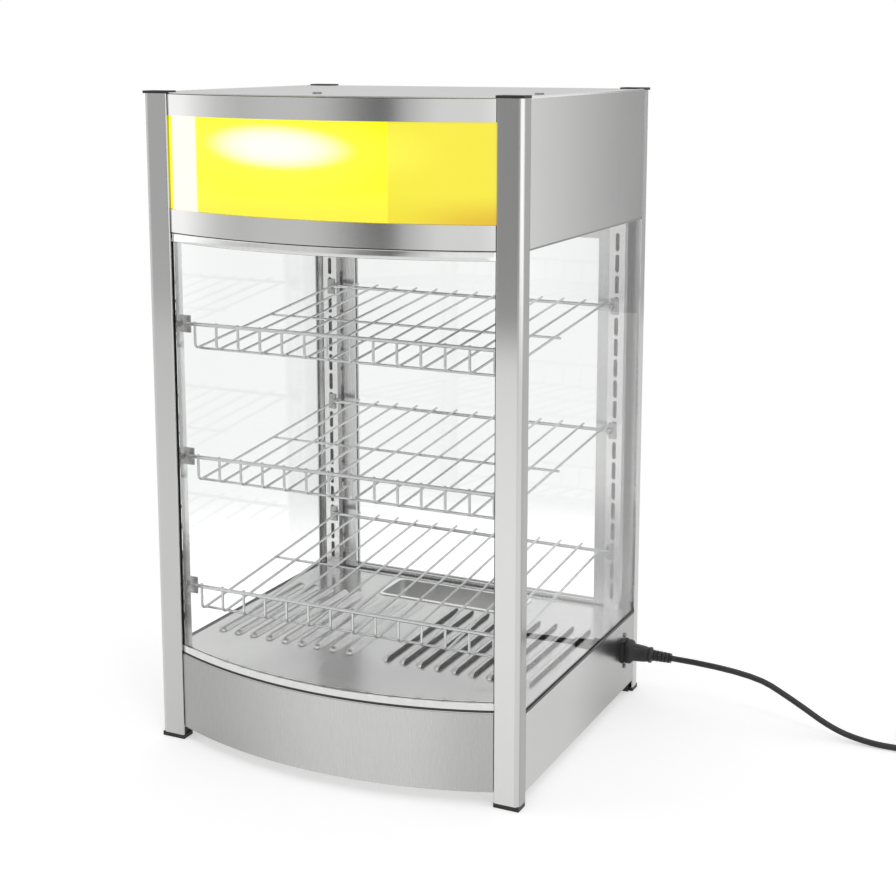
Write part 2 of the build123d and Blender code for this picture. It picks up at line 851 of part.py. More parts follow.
with BuildPart() as front_seals:
    for low, height in ((deck_level, seam), (bead_top, bead_seam)):
        with BuildSketch(Plane.XY.offset(low)):
            bowed_area(sill_inset + seal_wall / 2, glass_rear - seal_wall, panel_half)
        extrude(amount=height)
    with BuildSketch(Plane.XY.offset(sill_top)):
        bowed_area(glass_inset - seal_wall / 2, glass_rear + seal_wall / 2, panel_half)
        Rectangle(2 * (panel_half - seal_wall), 2 * case_depth, mode=Mode.SUBTRACT)
    extrude(amount=bead_bottom - sill_top)
save(front_seals, "front_seals")

side_glass_bottom = deck_bottom + seal_wall + fit_gap
side_glass_top = box_bottom - seal_wall - fit_gap
for side_label, side_sign in (("left", -1), ("right", 1)):
    with BuildPart() as side_glass:
        slab(
            (side_sign * (glass_x - glass_thickness / 2), side_sign * (glass_x + glass_thickness / 2)),
            (front + post_depth / 2, back - post_depth / 2),
            (side_glass_bottom, side_glass_top),
        )
    save(side_glass, f"side_glass_{side_label}")

with BuildPart() as side_seals:
    reach = glass_thickness / 2 + seal_wall
    for side in (-1, 1):
        for low, high in ((deck_bottom, deck_bottom + seal_height), (box_bottom - seal_height, box_bottom)):
            slab(
                (side * (glass_x - reach), side * (glass_x + reach)),
                (front + panel_inset, back - panel_inset),
                (low, high),
            )
        slab(
            (side * (glass_x - glass_thickness / 2), side * (glass_x + glass_thickness / 2)),
            (front, back),
            (deck_bottom + seal_wall, box_bottom - seal_wall),
            mode=Mode.SUBTRACT,
        )
save(side_seals, "side_seals")

# Shelf standards, clips and wire shelves


def standard_centres():
    """Middle and outer web face of each standard, and the way its web faces."""
    centres = []
    for side in (-1, 1):
        front_x = inner_half + front_standard_inset + standard_width / 2
        rear_x = inner_half + rear_standard_inset + standard_width / 2
        centres += [(side, front_x, front_web, 1), (side, rear_x, rear_web, -1)]
    return centres


with BuildPart() as shelf_standards:
    for side, centre, web, facing in standard_centres():
        root = web - facing * standard_depth
        slab(
            (side * (centre - standard_width / 2), side * (centre + standard_width / 2)),
            (root, web),
            (standard_bottom, standard_top),
        )
        hollow_half = standard_width / 2 - standard_wall
        slab(
            (side * (centre - hollow_half), side * (centre + hollow_half)),
            (root - facing, web - facing * standard_wall),
            (standard_bottom - 1, standard_top + 1),
            mode=Mode.SUBTRACT,
        )
        levels = [slot_first + index * slot_pitch for index in range(slot_count)]
        with BuildSketch(Plane.XZ.offset(-web - 1)):
            with Locations(*[(side * centre, level) for level in levels]):
                SlotOverall(slot_length, slot_width, rotation=90)
        extrude(amount=standard_wall + 2, both=True, mode=Mode.SUBTRACT)
save(shelf_standards, "shelf_standards")


def shelf_level(slot):
    """Height of a shelf's rails when its clips hang in the given slot."""
    return slot_first + slot * slot_pitch


with BuildPart() as shelf_clips:
    for slot in shelf_slots.values():
        level = shelf_level(slot)
        for side, centre, web, facing in standard_centres():
            rail_y = front_rail if facing > 0 else rear_rail
            plate_front = rail_y + rail_radius + fit_gap
            outer = centre + slot_width / 2
            slab(
                (side * clip_inner, side * outer),
                (plate_front, plate_front + clip_sheet),
                (level - clip_below, level + clip_above),
            )
            hook_front = rail_y - rail_radius - fit_gap - hook_sheet
            hook_bottom = level - rail_radius - fit_gap - hook_sheet
            hook_x = (side * clip_inner, side * (clip_inner + hook_width))
            slab(hook_x, (hook_front, plate_front), (hook_bottom, hook_bottom + hook_sheet))
            slab(hook_x, (hook_front, hook_front + hook_sheet), (hook_bottom, level + 1.5))
            tab_x = (side * (centre - tab_half), side * (centre + tab_half))
            behind = web - facing * (standard_wall + fit_gap)
            tab_end = behind - facing * hook_sheet
            slab(tab_x, (web, tab_end), (level + tab_rise - tab_drop, level + tab_rise))
            slab(tab_x, (behind, tab_end), (level - tab_drop, level + tab_rise))
save(shelf_clips, "shelf_clips")


def make_shelf(label, level):
    """A welded wire shelf with a raised front lip, its wires bent up to the front rail."""
    wire_low = level - lip_height
    wire_y = front_rail + rail_radius + wire_radius - weld
    rear_z = level + rail_radius + wire_radius - weld
    slope = (rear_z - wire_low) / (rear_rail - wire_y)
    end_y = rear_rail + wire_overrun
    end_z = rear_z + slope * wire_overrun
    under = 2 * wire_radius - weld
    wire_places = [(index - (wire_count - 1) / 2) * wire_pitch for index in range(wire_count)]
    with BuildPart() as wire:
        with BuildLine(Plane.YZ) as bend:
            bends = [(wire_y, level + rail_radius), (wire_y, wire_low), (end_y, end_z)]
            FilletPolyline(*bends, radius=wire_bend)
        with BuildSketch(Plane(origin=bend.line @ 0, z_dir=bend.line % 0)):
            Circle(wire_radius)
        sweep()
    with BuildPart() as shelf:
        with Locations((0, front_rail, level), (0, rear_rail, level)):
            Cylinder(rail_radius, 2 * (inner_half - rail_inset), rotation=(0, 90, 0))
        for offset_y in (cross_first, cross_share * (rear_rail - wire_y)):
            cross_z = wire_low + slope * offset_y - under
            with Locations((0, wire_y + offset_y, cross_z)):
                Cylinder(wire_radius, 2 * (inner_half - cross_inset), rotation=(0, 90, 0))
        with Locations(*[(place, 0, 0) for place in wire_places]):
            add(wire.part)
    save(shelf, label)


for shelf_label, shelf_slot in shelf_slots.items():
    make_shelf(f"shelf_{shelf_label}", shelf_level(shelf_slot))

# Rear door, its hinges, handle and catch

with BuildPart() as door_frame:
    groove = glass_thickness + 2 * fit_gap
    door_middle = door_front + door_thickness / 2
    slab((-door_half, door_half), (door_front, back), (door_bottom, door_top))
    window_half = door_half - door_member
    window_z = (door_bottom + door_member, door_top - door_member)
    slab((-window_half, window_half), (door_front - 1, back + 1), window_z, mode=Mode.SUBTRACT)
    deep = glass_bite + 1
    slab(
        (-window_half - deep, window_half + deep),
        (door_middle - groove / 2, door_middle + groove / 2),
        (window_z[0] - deep, window_z[1] + deep),
        mode=Mode.SUBTRACT,
    )
    fillet(door_frame.edges().filter_by(Axis.Z).group_by(Axis.Y)[-1], 1.0)
save(door_frame, "door_frame")

with BuildPart() as door_glass:
    slab(
        (-window_half - glass_bite, window_half + glass_bite),
        (door_middle - glass_thickness / 2, door_middle + glass_thickness / 2),
        (window_z[0] - glass_bite, window_z[1] + glass_bite),
    )
save(door_glass, "door_glass")

with BuildPart() as door_handle:
    handle_x = door_half - door_member / 2
    reach_y = back + handle_reach - handle_radius
    low, high = handle_level - handle_span / 2, handle_level + handle_span / 2
    with BuildLine(Plane.YZ.offset(handle_x)) as grip:
        FilletPolyline((back, low), (reach_y, low), (reach_y, high), (back, high), radius=handle_bend)
    with BuildSketch(Plane(origin=grip.line @ 0, z_dir=grip.line % 0)):
        Circle(handle_radius)
    sweep()
    for level in (low, high):
        with Locations((handle_x, back + 1, level)):
            Cylinder(handle_radius + handle_foot, 2, rotation=(90, 0, 0))
save(door_handle, "door_handle")

hinge_x = -(inner_half - door_gap / 2)
hinge_y = back + knuckle_radius + 0.2
knuckle_third = hinge_height / 3


def knuckle(low, high):
    """One round knuckle of a hinge, from its lower to its upper end, in the current part."""
    with Locations((hinge_x, hinge_y, (low + high) / 2)):
        Cylinder(knuckle_radius, high - low)


def pin_bore(low, high):
    """The hole for the hinge pin, in the current part."""
    with Locations((hinge_x, hinge_y, (low + high) / 2)):
        Cylinder(pin_radius + pin_gap, high - low, mode=Mode.SUBTRACT)


leaf_y = (back + pin_gap, back + pin_gap + hinge_leaf)
with BuildPart() as hinge_post_leaves:
    for level in hinge_levels:
        low, high = level - hinge_height / 2, level + hinge_height / 2
        slab((hinge_x - hinge_leaf_width, hinge_x), leaf_y, (low, high))
        slab(
            (hinge_x - knuckle_radius - hinge_clear, hinge_x + 1),
            (back - 1, back + hinge_leaf + 1),
            (low + knuckle_third - fit_gap, high - knuckle_third + fit_gap),
            mode=Mode.SUBTRACT,
        )
        knuckle(low, low + knuckle_third - fit_gap)
        knuckle(high - knuckle_third + fit_gap, high)
        pin_bore(low - 1, high + 1)
save(hinge_post_leaves, "hinge_post_leaves")

with BuildPart() as hinge_door_leaves:
    for level in hinge_levels:
        low = level - knuckle_third / 2
        high = level + knuckle_third / 2
        slab((hinge_x, hinge_x + hinge_leaf_width), leaf_y, (low, high))
        slab(
            (hinge_x + knuckle_radius + hinge_clear, hinge_x + hinge_leaf_width),
            leaf_y,
            (level - hinge_height / 2, level + hinge_height / 2),
        )
        knuckle(low, high)
        pin_bore(low - 1, high + 1)
save(hinge_door_leaves, "hinge_door_leaves")

with BuildPart() as hinge_pins:
    for level in hinge_levels:
        with Locations((hinge_x, hinge_y, level)):
            Cylinder(pin_radius, hinge_height)
            with Locations((0, 0, hinge_height / 2 + pin_head / 2)):
                Cylinder(pin_radius + 1, pin_head)
save(hinge_pins, "hinge_pins")

with BuildPart() as door_catch:
    catch_back = door_front - strike_sheet - fit_gap
    catch_bottom = box_bottom - catch_height
    catch_y = (catch_back - catch_depth, catch_back)
    catch_x = (catch_place - catch_width / 2, catch_place + catch_width / 2)
    slab(catch_x, catch_y, (catch_bottom, box_bottom))
    for side in (-1, 1):
        pole_x = (catch_place + side * 0.1 * catch_width, catch_place + side * 0.35 * catch_width)
        pole_z = (catch_bottom + 2, catch_bottom + 10)
        slab(pole_x, (catch_back - 1, catch_back + fit_gap / 2), pole_z)
save(door_catch, "door_catch")

with BuildPart() as catch_strike:
    strike_z = (catch_bottom - 1, door_top - 3)
    slab((catch_x[0] + 2, catch_x[1] - 2), (door_front - strike_sheet, door_front), strike_z)
save(catch_strike, "catch_strike")

# Mains lead: connector, free stretch, coil and plug

lead_x = half_width + inlet_rim + 1.0
head_end = lead_x + connector_head[2]
grip_end = head_end + connector_grip[2]
lead_start = grip_end + relief_length
with BuildPart() as cord_connector:
    slab(
        (lead_x - 1 - connector_nose[2], lead_x),
        (inlet_y - connector_nose[1] / 2, inlet_y + connector_nose[1] / 2),
        (inlet_level - connector_nose[0] / 2, inlet_level + connector_nose[0] / 2),
    )
    socket_x = (lead_x - 2 - connector_nose[2], mouth_x - inlet_cavity[2] + inlet_pin[0])
    for pin_y, pin_z in inlet_pin_spots:
        half_y, half_z = inlet_pin[1] / 2 + fit_gap, inlet_pin[2] / 2 + fit_gap
        pin_at = (inlet_y + pin_y, inlet_level + pin_z)
        socket_y = (pin_at[0] - half_y, pin_at[0] + half_y)
        slab(socket_x, socket_y, (pin_at[1] - half_z, pin_at[1] + half_z), mode=Mode.SUBTRACT)
    with BuildSketch(Plane.YZ.offset(lead_x)):
        with Locations((inlet_y, inlet_level)):
            RectangleRounded(connector_head[1], connector_head[0], grip_corner)
    extrude(amount=connector_head[2])
    with BuildSketch(Plane.YZ.offset(head_end)):
        with Locations((inlet_y, inlet_level)):
            RectangleRounded(connector_grip[1], connector_grip[0], grip_corner)
    with BuildSketch(Plane.YZ.offset(grip_end)):
        with Locations((inlet_y, inlet_level)):
            RectangleRounded(grip_neck[1], grip_neck[0], grip_corner)
    loft()
    with Locations((grip_end + relief_length / 2, inlet_y, inlet_level)):
        Cone(cord_radius + 2.6, cord_radius + 0.9, relief_length, rotation=(0, 90, 0))
save(cord_connector, "cord_connector")

coil_mean_rate = cord_diameter + coil_gap
coil_level = cord_radius + 0.05
coil_centre_x = half_width + coil_reach
coil_centre_y = inlet_y + coil_outer
run_end = coil_centre_x - cord_diameter
cord_route = [
    (lead_start, inlet_y, inlet_level),
    (half_width + 158.0, inlet_y, inlet_level),
    (half_width + 214.0, inlet_y + 2.5, 38.0),
    (half_width + 262.0, inlet_y + 1.5, 11.0),
    (half_width + 306.0, inlet_y - 1.5, coil_level),
    (half_width + 346.0, inlet_y, coil_level),
    (run_end, inlet_y, coil_level),
]


def route_radii(points):
    """The largest tangent arc that each corner's two runs allow, by the rule of 0.45."""
    radii = []
    for before, corner, after in zip(points, points[1:], points[2:]):
        came, goes = Vector(*corner) - Vector(*before), Vector(*after) - Vector(*corner)
        half_turn = radians(came.get_angle(goes)) / 2
        radii.append(0.45 * min(came.length, goes.length) / tan(half_turn))
    return radii


cord_radii = route_radii(cord_route)
with BuildPart() as cord_run:
    with BuildLine() as run_path:
        FilletPolyline(*cord_route, radius=cord_radii)
    with BuildSketch(Plane(origin=run_path.line @ 0, z_dir=run_path.line % 0)):
        Circle(cord_radius)
    sweep()
save(cord_run, "cord_run")
run_length = run_path.wires()[0].length
run_volume = pi * cord_radius**2 * run_length
print("cord radii", [round(radius) for radius in cord_radii])
print(f"cord run {run_length:.0f} mm, volume ratio {cord_run.part.volume / run_volume:.4f}")

layer_rise = cord_diameter + coil_gap
plug_level = plug_radius + 0.1
coil_turns = coil_wind_turns + coil_climb_turns + coil_return_turns + coil_rise_turns


def coil_state(turn):
    """Radius, height, and their slopes per turn, at a number of turns from the coil's start."""
    inner = coil_outer - coil_mean_rate * coil_wind_turns
    climb = turn - coil_wind_turns
    back_turn = climb - coil_climb_turns
    rise = back_turn - coil_return_turns
    if climb <= 0:
        return coil_outer - coil_mean_rate * turn, coil_level, -coil_mean_rate, 0.0
    if back_turn < 0:
        share = climb / coil_climb_turns
        radius = inner - coil_mean_rate * coil_climb_turns * share * (1 - share)
        height = coil_level + layer_rise * share**2 * (3 - 2 * share)
        radius_slope = -coil_mean_rate * (1 - 2 * share)
        return radius, height, radius_slope, 6 * layer_rise * share * (1 - share) / coil_climb_turns
    radius = inner + coil_mean_rate * back_turn
    if rise <= 0:
        return radius, coil_level + layer_rise, coil_mean_rate, 0.0
    return radius, plug_level, coil_mean_rate, 0.0


def coil_node(turn):
    """Place and direction of the coil's centre line, which starts and ends heading along +X."""
    radius, height, radius_slope, height_slope = coil_state(turn)
    angle = 2 * pi * turn - pi / 2
    out = Vector(cos(angle), sin(angle), 0)
    along = Vector(-sin(angle), cos(angle), 0)
    place = Vector(coil_centre_x, coil_centre_y, height) + out * radius
    if turn in (0, coil_turns):
        return place, Vector(1, 0, 0)
    direction = along * (2 * pi * radius) + out * radius_slope + Vector(0, 0, height_slope)
    return place, direction.normalized()


def biarc(start, start_way, end, end_way):
    """Two tangent arcs between two places with given directions, in the current line."""
    span = end - start
    both = start_way + end_way
    a, b, c = both.dot(both) - 4, -2 * span.dot(both), span.dot(span)
    reach = (-b - sqrt(b * b - 4 * a * c)) / (2 * a)
    joint = (start + start_way * reach + end - end_way * reach) * 0.5
    TangentArc(start, joint, tangent=start_way)
    TangentArc(end, joint, tangent=end_way * -1)


quarter_count = round(coil_turns * 4)
coil_nodes = [coil_node(index / 4) for index in range(quarter_count + 1)]
coil_start = coil_nodes[0][0] - Vector(cord_diameter, 0, 0)
coil_end = coil_nodes[-1][0] + Vector(cord_diameter, 0, 0)
with BuildPart() as cord_coil:
    with BuildLine() as coil_path:
        Line(coil_start, coil_nodes[0][0])
        for (start, start_way), (end, end_way) in zip(coil_nodes, coil_nodes[1:]):
            biarc(start, start_way, end, end_way)
        Line(coil_nodes[-1][0], coil_end)
    with BuildSketch(Plane(origin=coil_start, z_dir=(1, 0, 0))):
        Circle(cord_radius)
    sweep()
save(cord_coil, "cord_coil")


def least_gap(path, diameter):
    """The smallest clear gap between stretches of a wound tube, measured on points."""
    count = ceil(path.length / 3)
    step = path.length / count
    points = [tuple(path @ (index / count)) for index in range(count + 1)]
    apart = ceil(3 * diameter / step)
    pairs = ((i, j) for i in range(count) for j in range(i + apart, count + 1))
    return min(dist(points[i], points[j]) for i, j in pairs) - diameter


coil_wire = coil_path.wires()[0]
coil_length = coil_wire.length
coil_volume = pi * cord_radius**2 * coil_length
print(f"coil {coil_length:.0f} mm, volume ratio {cord_coil.part.volume / coil_volume:.4f}")
print(f"coil's least gap to itself {least_gap(coil_wire, cord_diameter):.2f} mm")
print(f"lead from connector to plug {run_length + coil_length:.0f} mm")

with BuildPart() as mains_plug:
    with BuildSketch(Plane.XZ.offset(-coil_end.Y)):
        with BuildLine():
            tail, neck = coil_end.X, coil_end.X + plug_relief
            face = neck + plug_length
            outline = [
                (tail, plug_level),
                (tail, plug_level + cord_radius + 0.9),
                (neck, plug_level + cord_radius + 3.4),
                (neck + 6, plug_level + plug_radius - 4),
                (face - 14, plug_level + plug_radius - 2),
                (face - 10, plug_level + plug_radius),
                (face, plug_level + plug_radius),
                (face, plug_level),
            ]
            Polyline(*outline, close=True)
        make_face()
    revolve(axis=Axis((tail, coil_end.Y, plug_level), (1, 0, 0)))
    for side in (-0.5, 0.5):
        with Locations((face, coil_end.Y + side * plug_pin_spacing, plug_level)):
            Cylinder(plug_pin_radius, 2 * plug_pin_length, rotation=(0, 90, 0))
save(mains_plug, "mains_plug")
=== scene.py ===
"""Looks of a heated display case: a steel cabinet with a bowed glass front, a lit sign and wire shelves.

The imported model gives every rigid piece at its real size. This script gives each piece its finish,
adds the mains lead with its moulded ends and the small marks on the controls, and sets the camera
and a plain white studio. Lengths are metres, +X right, +Y to the back and +Z up.
"""

from __future__ import annotations

import logging
import math
from dataclasses import dataclass, field, replace
from enum import Enum
from typing import Iterable, Mapping, Sequence

import bmesh
import bpy
from mathutils import Euler, Matrix, Vector

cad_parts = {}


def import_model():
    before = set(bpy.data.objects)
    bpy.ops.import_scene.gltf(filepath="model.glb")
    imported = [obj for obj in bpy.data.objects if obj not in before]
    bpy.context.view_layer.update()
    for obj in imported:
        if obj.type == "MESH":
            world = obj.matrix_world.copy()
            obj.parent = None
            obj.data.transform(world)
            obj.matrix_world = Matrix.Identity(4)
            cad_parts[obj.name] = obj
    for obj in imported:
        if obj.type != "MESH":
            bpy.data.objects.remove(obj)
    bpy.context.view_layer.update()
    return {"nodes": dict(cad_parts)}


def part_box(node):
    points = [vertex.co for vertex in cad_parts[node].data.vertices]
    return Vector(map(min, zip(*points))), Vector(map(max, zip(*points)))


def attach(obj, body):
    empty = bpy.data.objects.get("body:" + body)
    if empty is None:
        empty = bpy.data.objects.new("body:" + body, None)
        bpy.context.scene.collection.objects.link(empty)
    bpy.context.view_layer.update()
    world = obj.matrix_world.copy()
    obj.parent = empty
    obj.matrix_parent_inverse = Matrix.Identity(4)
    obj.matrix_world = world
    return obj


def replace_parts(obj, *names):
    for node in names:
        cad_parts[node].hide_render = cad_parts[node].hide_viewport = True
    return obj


LOG = logging.getLogger("display_case")

Colour = tuple[float, float, float]
Point = tuple[float, float, float]
Span = tuple[float, float]
Nodes = Mapping[str, bpy.types.Object]
Settings = Mapping[str, object]
Sockets = Mapping[str | int, object]

BLACK: Colour = (0.0, 0.0, 0.0)
WHITE: Colour = (1.0, 1.0, 1.0)
CREASE = math.radians(50)  # a turn sharper than this is an edge
WELD_REACH = 0.00001  # corners nearer than this are one corner, before an edge is softened


# Shader graphs


class Signal:
    """A shader socket that can stand in a Python expression of numbers."""

    def __init__(self, graph: Graph, socket: bpy.types.NodeSocket) -> None:
        """Wraps one output socket.

        Args:
            graph: The graph that the socket belongs to.
            socket: An output socket that carries a number, a vector or a colour.
        """
        self.graph = graph
        self.socket = socket

    def _math(self, operation: str, first: Value, second: Value = 0.0) -> Signal:
        """One Math node on two values."""
        return self.graph.signal("ShaderNodeMath", {"operation": operation}, {0: first, 1: second})

    def __add__(self, other: Value) -> Signal:
        """Sum."""
        return self._math("ADD", self, other)

    __radd__ = __add__

    def __sub__(self, other: Value) -> Signal:
        """Difference."""
        return self._math("SUBTRACT", self, other)

    def __rsub__(self, other: Value) -> Signal:
        """Difference with this value taken away from a number."""
        return self._math("SUBTRACT", other, self)

    def __mul__(self, other: Value) -> Signal:
        """Product."""
        return self._math("MULTIPLY", self, other)

    __rmul__ = __mul__

    def __truediv__(self, other: Value) -> Signal:
        """Quotient."""
        return self._math("DIVIDE", self, other)

    def __rtruediv__(self, other: Value) -> Signal:
        """Quotient with this value under a number."""
        return self._math("DIVIDE", other, self)

    def __abs__(self) -> Signal:
        """Size without its sign."""
        return self._math("ABSOLUTE", self)

    def at_most(self, other: Value) -> Signal:
        """The smaller of two values."""
        return self._math("MINIMUM", self, other)

    def at_least(self, other: Value) -> Signal:
        """The larger of two values."""
        return self._math("MAXIMUM", self, other)

    def smooth(self, low: float, high: float) -> Signal:
        """A soft step from 0 at low to 1 at high.

        Args:
            low: Where the step starts. It may be above high, for a falling step.
            high: Where the step ends.

        Returns:
            The step as a number from 0 to 1.
        """
        sockets = {"Value": self, "From Min": low, "From Max": high}
        return self.graph.signal("ShaderNodeMapRange", {"interpolation_type": "SMOOTHSTEP"}, sockets)


Value = float | Signal


class Graph:
    """A node tree that is written as Python expressions."""

    MIX_FIRST = 6  # the Mix node's colour sockets share their names with its number sockets
    MIX_SECOND = 7
    MIX_RESULT = 2

    def __init__(self, tree: bpy.types.NodeTree) -> None:
        """Empties a node tree and takes it over.

        Args:
            tree: The node tree of a material or of the world.
        """
        self.tree = tree
        tree.nodes.clear()

    def node(
        self,
        kind: str,
        settings: Settings | None = None,
        sockets: Sockets | None = None,
    ) -> bpy.types.Node:
        """Adds any node.

        Args:
            kind: Blender's name for the node's type.
            settings: Properties of the node, and "stops" for a ramp, which are set first.
            sockets: Values or links for its input sockets, by name or number.

        Returns:
            The new node.
        """
        made = self.tree.nodes.new(kind)
        for name, value in (settings or {}).items():
            if name == "stops":
                self._set_stops(made.color_ramp, value)
            else:
                setattr(made, name, value)
        for name, value in (sockets or {}).items():
            if isinstance(value, Signal):
                self.tree.links.new(value.socket, made.inputs[name])
            else:
                made.inputs[name].default_value = value
        return made

    @staticmethod
    def _set_stops(ramp: bpy.types.ColorRamp, stops: Sequence[Span]) -> None:
        """Gives a ramp grey stops, each a place and a level."""
        while len(ramp.elements) < len(stops):
            ramp.elements.new(1.0)
        for element, (place, level) in zip(ramp.elements, stops):
            element.position = place
            element.color = (level, level, level, 1.0)

    def signal(
        self,
        kind: str,
        settings: Settings | None = None,
        sockets: Sockets | None = None,
        output: str | int = 0,
    ) -> Signal:
        """Adds any node and gives one of its outputs.

        Args:
            kind: Blender's name for the node's type.
            settings: Properties of the node.
            sockets: Values or links for its input sockets.
            output: The name or number of the output.

        Returns:
            The output.
        """
        return Signal(self, self.node(kind, settings, sockets).outputs[output])

    def place(self) -> Signal:
        """The place of the shaded point in the case's own frame, in metres."""
        return self.signal("ShaderNodeTexCoord", output="Object")

    def axes(self, vector: Signal) -> tuple[Signal, Signal, Signal]:
        """The three parts of a vector."""
        parts = self.node("ShaderNodeSeparateXYZ", sockets={"Vector": vector}).outputs
        return Signal(self, parts["X"]), Signal(self, parts["Y"]), Signal(self, parts["Z"])

    def noise(self, scale: Point, detail: float = 2.0) -> Signal:
        """Soft noise from 0 to 1.

        Args:
            scale: Features per metre along each axis.
            detail: How many finer layers are added.

        Returns:
            The noise.
        """
        factors = {0: self.place(), 1: scale}
        stretched = self.signal("ShaderNodeVectorMath", {"operation": "MULTIPLY"}, factors)
        sockets = {"Vector": stretched, "Scale": 1.0, "Detail": detail}
        return self.signal("ShaderNodeTexNoise", sockets=sockets)

    def mix(self, factor: Value, first: object, second: object) -> Signal:
        """A colour between two colours.

        Args:
            factor: 0 gives the first colour and 1 the second.
            first: A colour or a link.
            second: A colour or a link.

        Returns:
            The mixed colour.
        """
        sockets = {"Factor": factor, self.MIX_FIRST: opaque(first), self.MIX_SECOND: opaque(second)}
        made = self.node("ShaderNodeMix", {"data_type": "RGBA"}, sockets)
        return Signal(self, made.outputs[self.MIX_RESULT])

    def bump(self, height: Signal, depth: float, strength: float = 1.0) -> Signal:
        """A normal tilted by a height.

        Args:
            height: The height, from 0 to 1.
            depth: What a height of 1 stands for, in metres.
            strength: The share of the tilt that is kept.

        Returns:
            The normal.
        """
        sockets = {"Height": height, "Distance": depth, "Strength": strength}
        return self.signal("ShaderNodeBump", sockets=sockets)

    def surface(self, shader: Signal) -> None:
        """Makes a shader the surface of the material."""
        self.node("ShaderNodeOutputMaterial", sockets={"Surface": shader})


def opaque(colour: object) -> object:
    """A plain colour with full alpha, or a link as it is."""
    return colour if isinstance(colour, Signal) else (*colour, 1.0)


# Finishes


class Finish:
    """A finish that can be put on a piece."""

    name: str

    def paint(self, graph: Graph) -> Signal:
        """Builds the finish's shader and gives its output."""
        raise NotImplementedError

    def material(self) -> bpy.types.Material:
        """The finish's material, made at its first use."""
        made = bpy.data.materials.get(self.name)
        if made is None:
            made = bpy.data.materials.new(self.name)
            made.use_nodes = True
            graph = Graph(made.node_tree)
            graph.surface(self.paint(graph))
        return made


class Grain(Enum):
    """The way that a sheet's brush lines run."""

    ALONG_X = "x"
    ALONG_Y = "y"
    ALONG_Z = "z"

    def scale(self, across: float, along: float) -> Point:
        """Noise scale with fine steps across the lines and long ones along them."""
        return tuple(along if axis == self.value else across for axis in "xyz")


@dataclass(frozen=True)
class BrushedSteel(Finish):
    """Stainless sheet with straight brush lines, soft wide bands and a faint handling haze.

    The lines' length and the bands' width and length are counted in line pitches. Stretch and turn
    are those of the sheet's drawn-out reflections. Green is lower than red by warmth, and blue by
    blue_drop times that.
    """

    name: str
    tone: float
    grain: Grain
    roughness: float
    stretch: float
    turn: float = 0.0
    line_pitch: float = 0.0008
    line_contrast: float = 0.07
    ridge: float = 0.20
    warmth: float = 0.004
    line_length: float = 90.0
    band_width: float = 40.0
    band_length: float = 900.0
    band_share: float = 0.4
    ridge_depth: float = 0.00003
    haze_scale: float = 9.0
    haze_depth: float = 0.06
    uneven: float = 0.4
    blue_drop: float = 2.5

    def shade(self, graph: Graph) -> Value:
        """The share of the tone that each place of the sheet keeps; subclasses paint shade and
        reflections with it, and here it is whole.
        """
        return 1.0

    def paint(self, graph: Graph) -> Signal:
        """Builds the brushed sheet."""
        per_metre = 1.0 / self.line_pitch
        lines = graph.noise(self.grain.scale(per_metre, per_metre / self.line_length), 3.0)
        wide = self.grain.scale(per_metre / self.band_width, per_metre / self.band_length)
        bands = graph.noise(wide, 1.0)
        haze = graph.noise((self.haze_scale,) * 3, 3.0)
        depth = (lines - 0.5) * self.line_contrast
        depth = depth + (bands - 0.5) * (self.band_share * self.line_contrast)
        # The subclasses' painted shade and reflections scale the tone here.
        level = (depth + 1.0) * self.tone * self.shade(graph)
        white = (1.0, 1.0 - self.warmth, 1.0 - self.blue_drop * self.warmth)
        rough = self.roughness + (lines - 0.5) * (self.uneven * self.roughness)
        rough = rough + (haze - 0.5) * self.haze_depth
        sockets = {
            "Base Color": graph.mix(level, BLACK, white),
            "Metallic": 1.0,
            "Roughness": rough,
            "Anisotropic": self.stretch,
            "Anisotropic Rotation": self.turn,
            "Normal": graph.bump(lines, self.ridge_depth, self.ridge),
        }
        return graph.signal("ShaderNodeBsdfPrincipled", sockets=sockets)


@dataclass(frozen=True)
class BowedSteel(BrushedSteel):
    """Brushed sheet with a painted reflection: its bow is painted darker towards its two ends, where it
    mirrors a darker room.
    """

    middle_share: float = 1.13
    left_shade: float = 0.37
    left_change: Span = (0.04, -0.17)
    right_shade: float = 0.26
    right_change: Span = (0.10, 0.20)

    def shade(self, graph: Graph) -> Value:
        """Painted reflection: darker towards the left end and a little towards the right."""
        x, _, _ = graph.axes(graph.place())
        left = x.smooth(*self.left_change) * self.left_shade
        right = x.smooth(*self.right_change) * self.right_shade
        return self.middle_share - left - right


@dataclass(frozen=True)
class PostSteel(BrushedSteel):
    """A brushed post with painted reflections: its flat face is painted lighter low down, where it
    mirrors the floor, and darker higher up, where it mirrors a dimmer room.
    """

    low_share: float = 1.0
    high_share: float = 1.0
    change: Span = (0.475, 0.545)
    corner: Span = (0.2240, 0.2250)
    flank: Span = (0.2288, 0.2297)
    flank_share: float = 0.70

    def shade(self, graph: Graph) -> Value:
        """Painted reflection and shade: two levels on the face, the whole tone on the corner and less on
        the flank.
        """
        x, _, z = graph.axes(graph.place())
        face = z.smooth(*self.change) * (self.high_share - self.low_share) + self.low_share
        turned = abs(x).smooth(*self.corner)
        side = abs(x).smooth(*self.flank) * (1.0 - self.flank_share)
        return face * (1.0 - turned) + turned - side


@dataclass(frozen=True)
class FlankSteel(BrushedSteel):
    """Brushed side panel with painted shade: dimmer towards the rear."""

    rear_shade: float = 0.32
    change: Span = (-0.06, 0.11)

    def shade(self, graph: Graph) -> Value:
        """Painted shade: dimmer from the middle to the rear."""
        _, y, _ = graph.axes(graph.place())
        return 1.0 - y.smooth(*self.change) * self.rear_shade


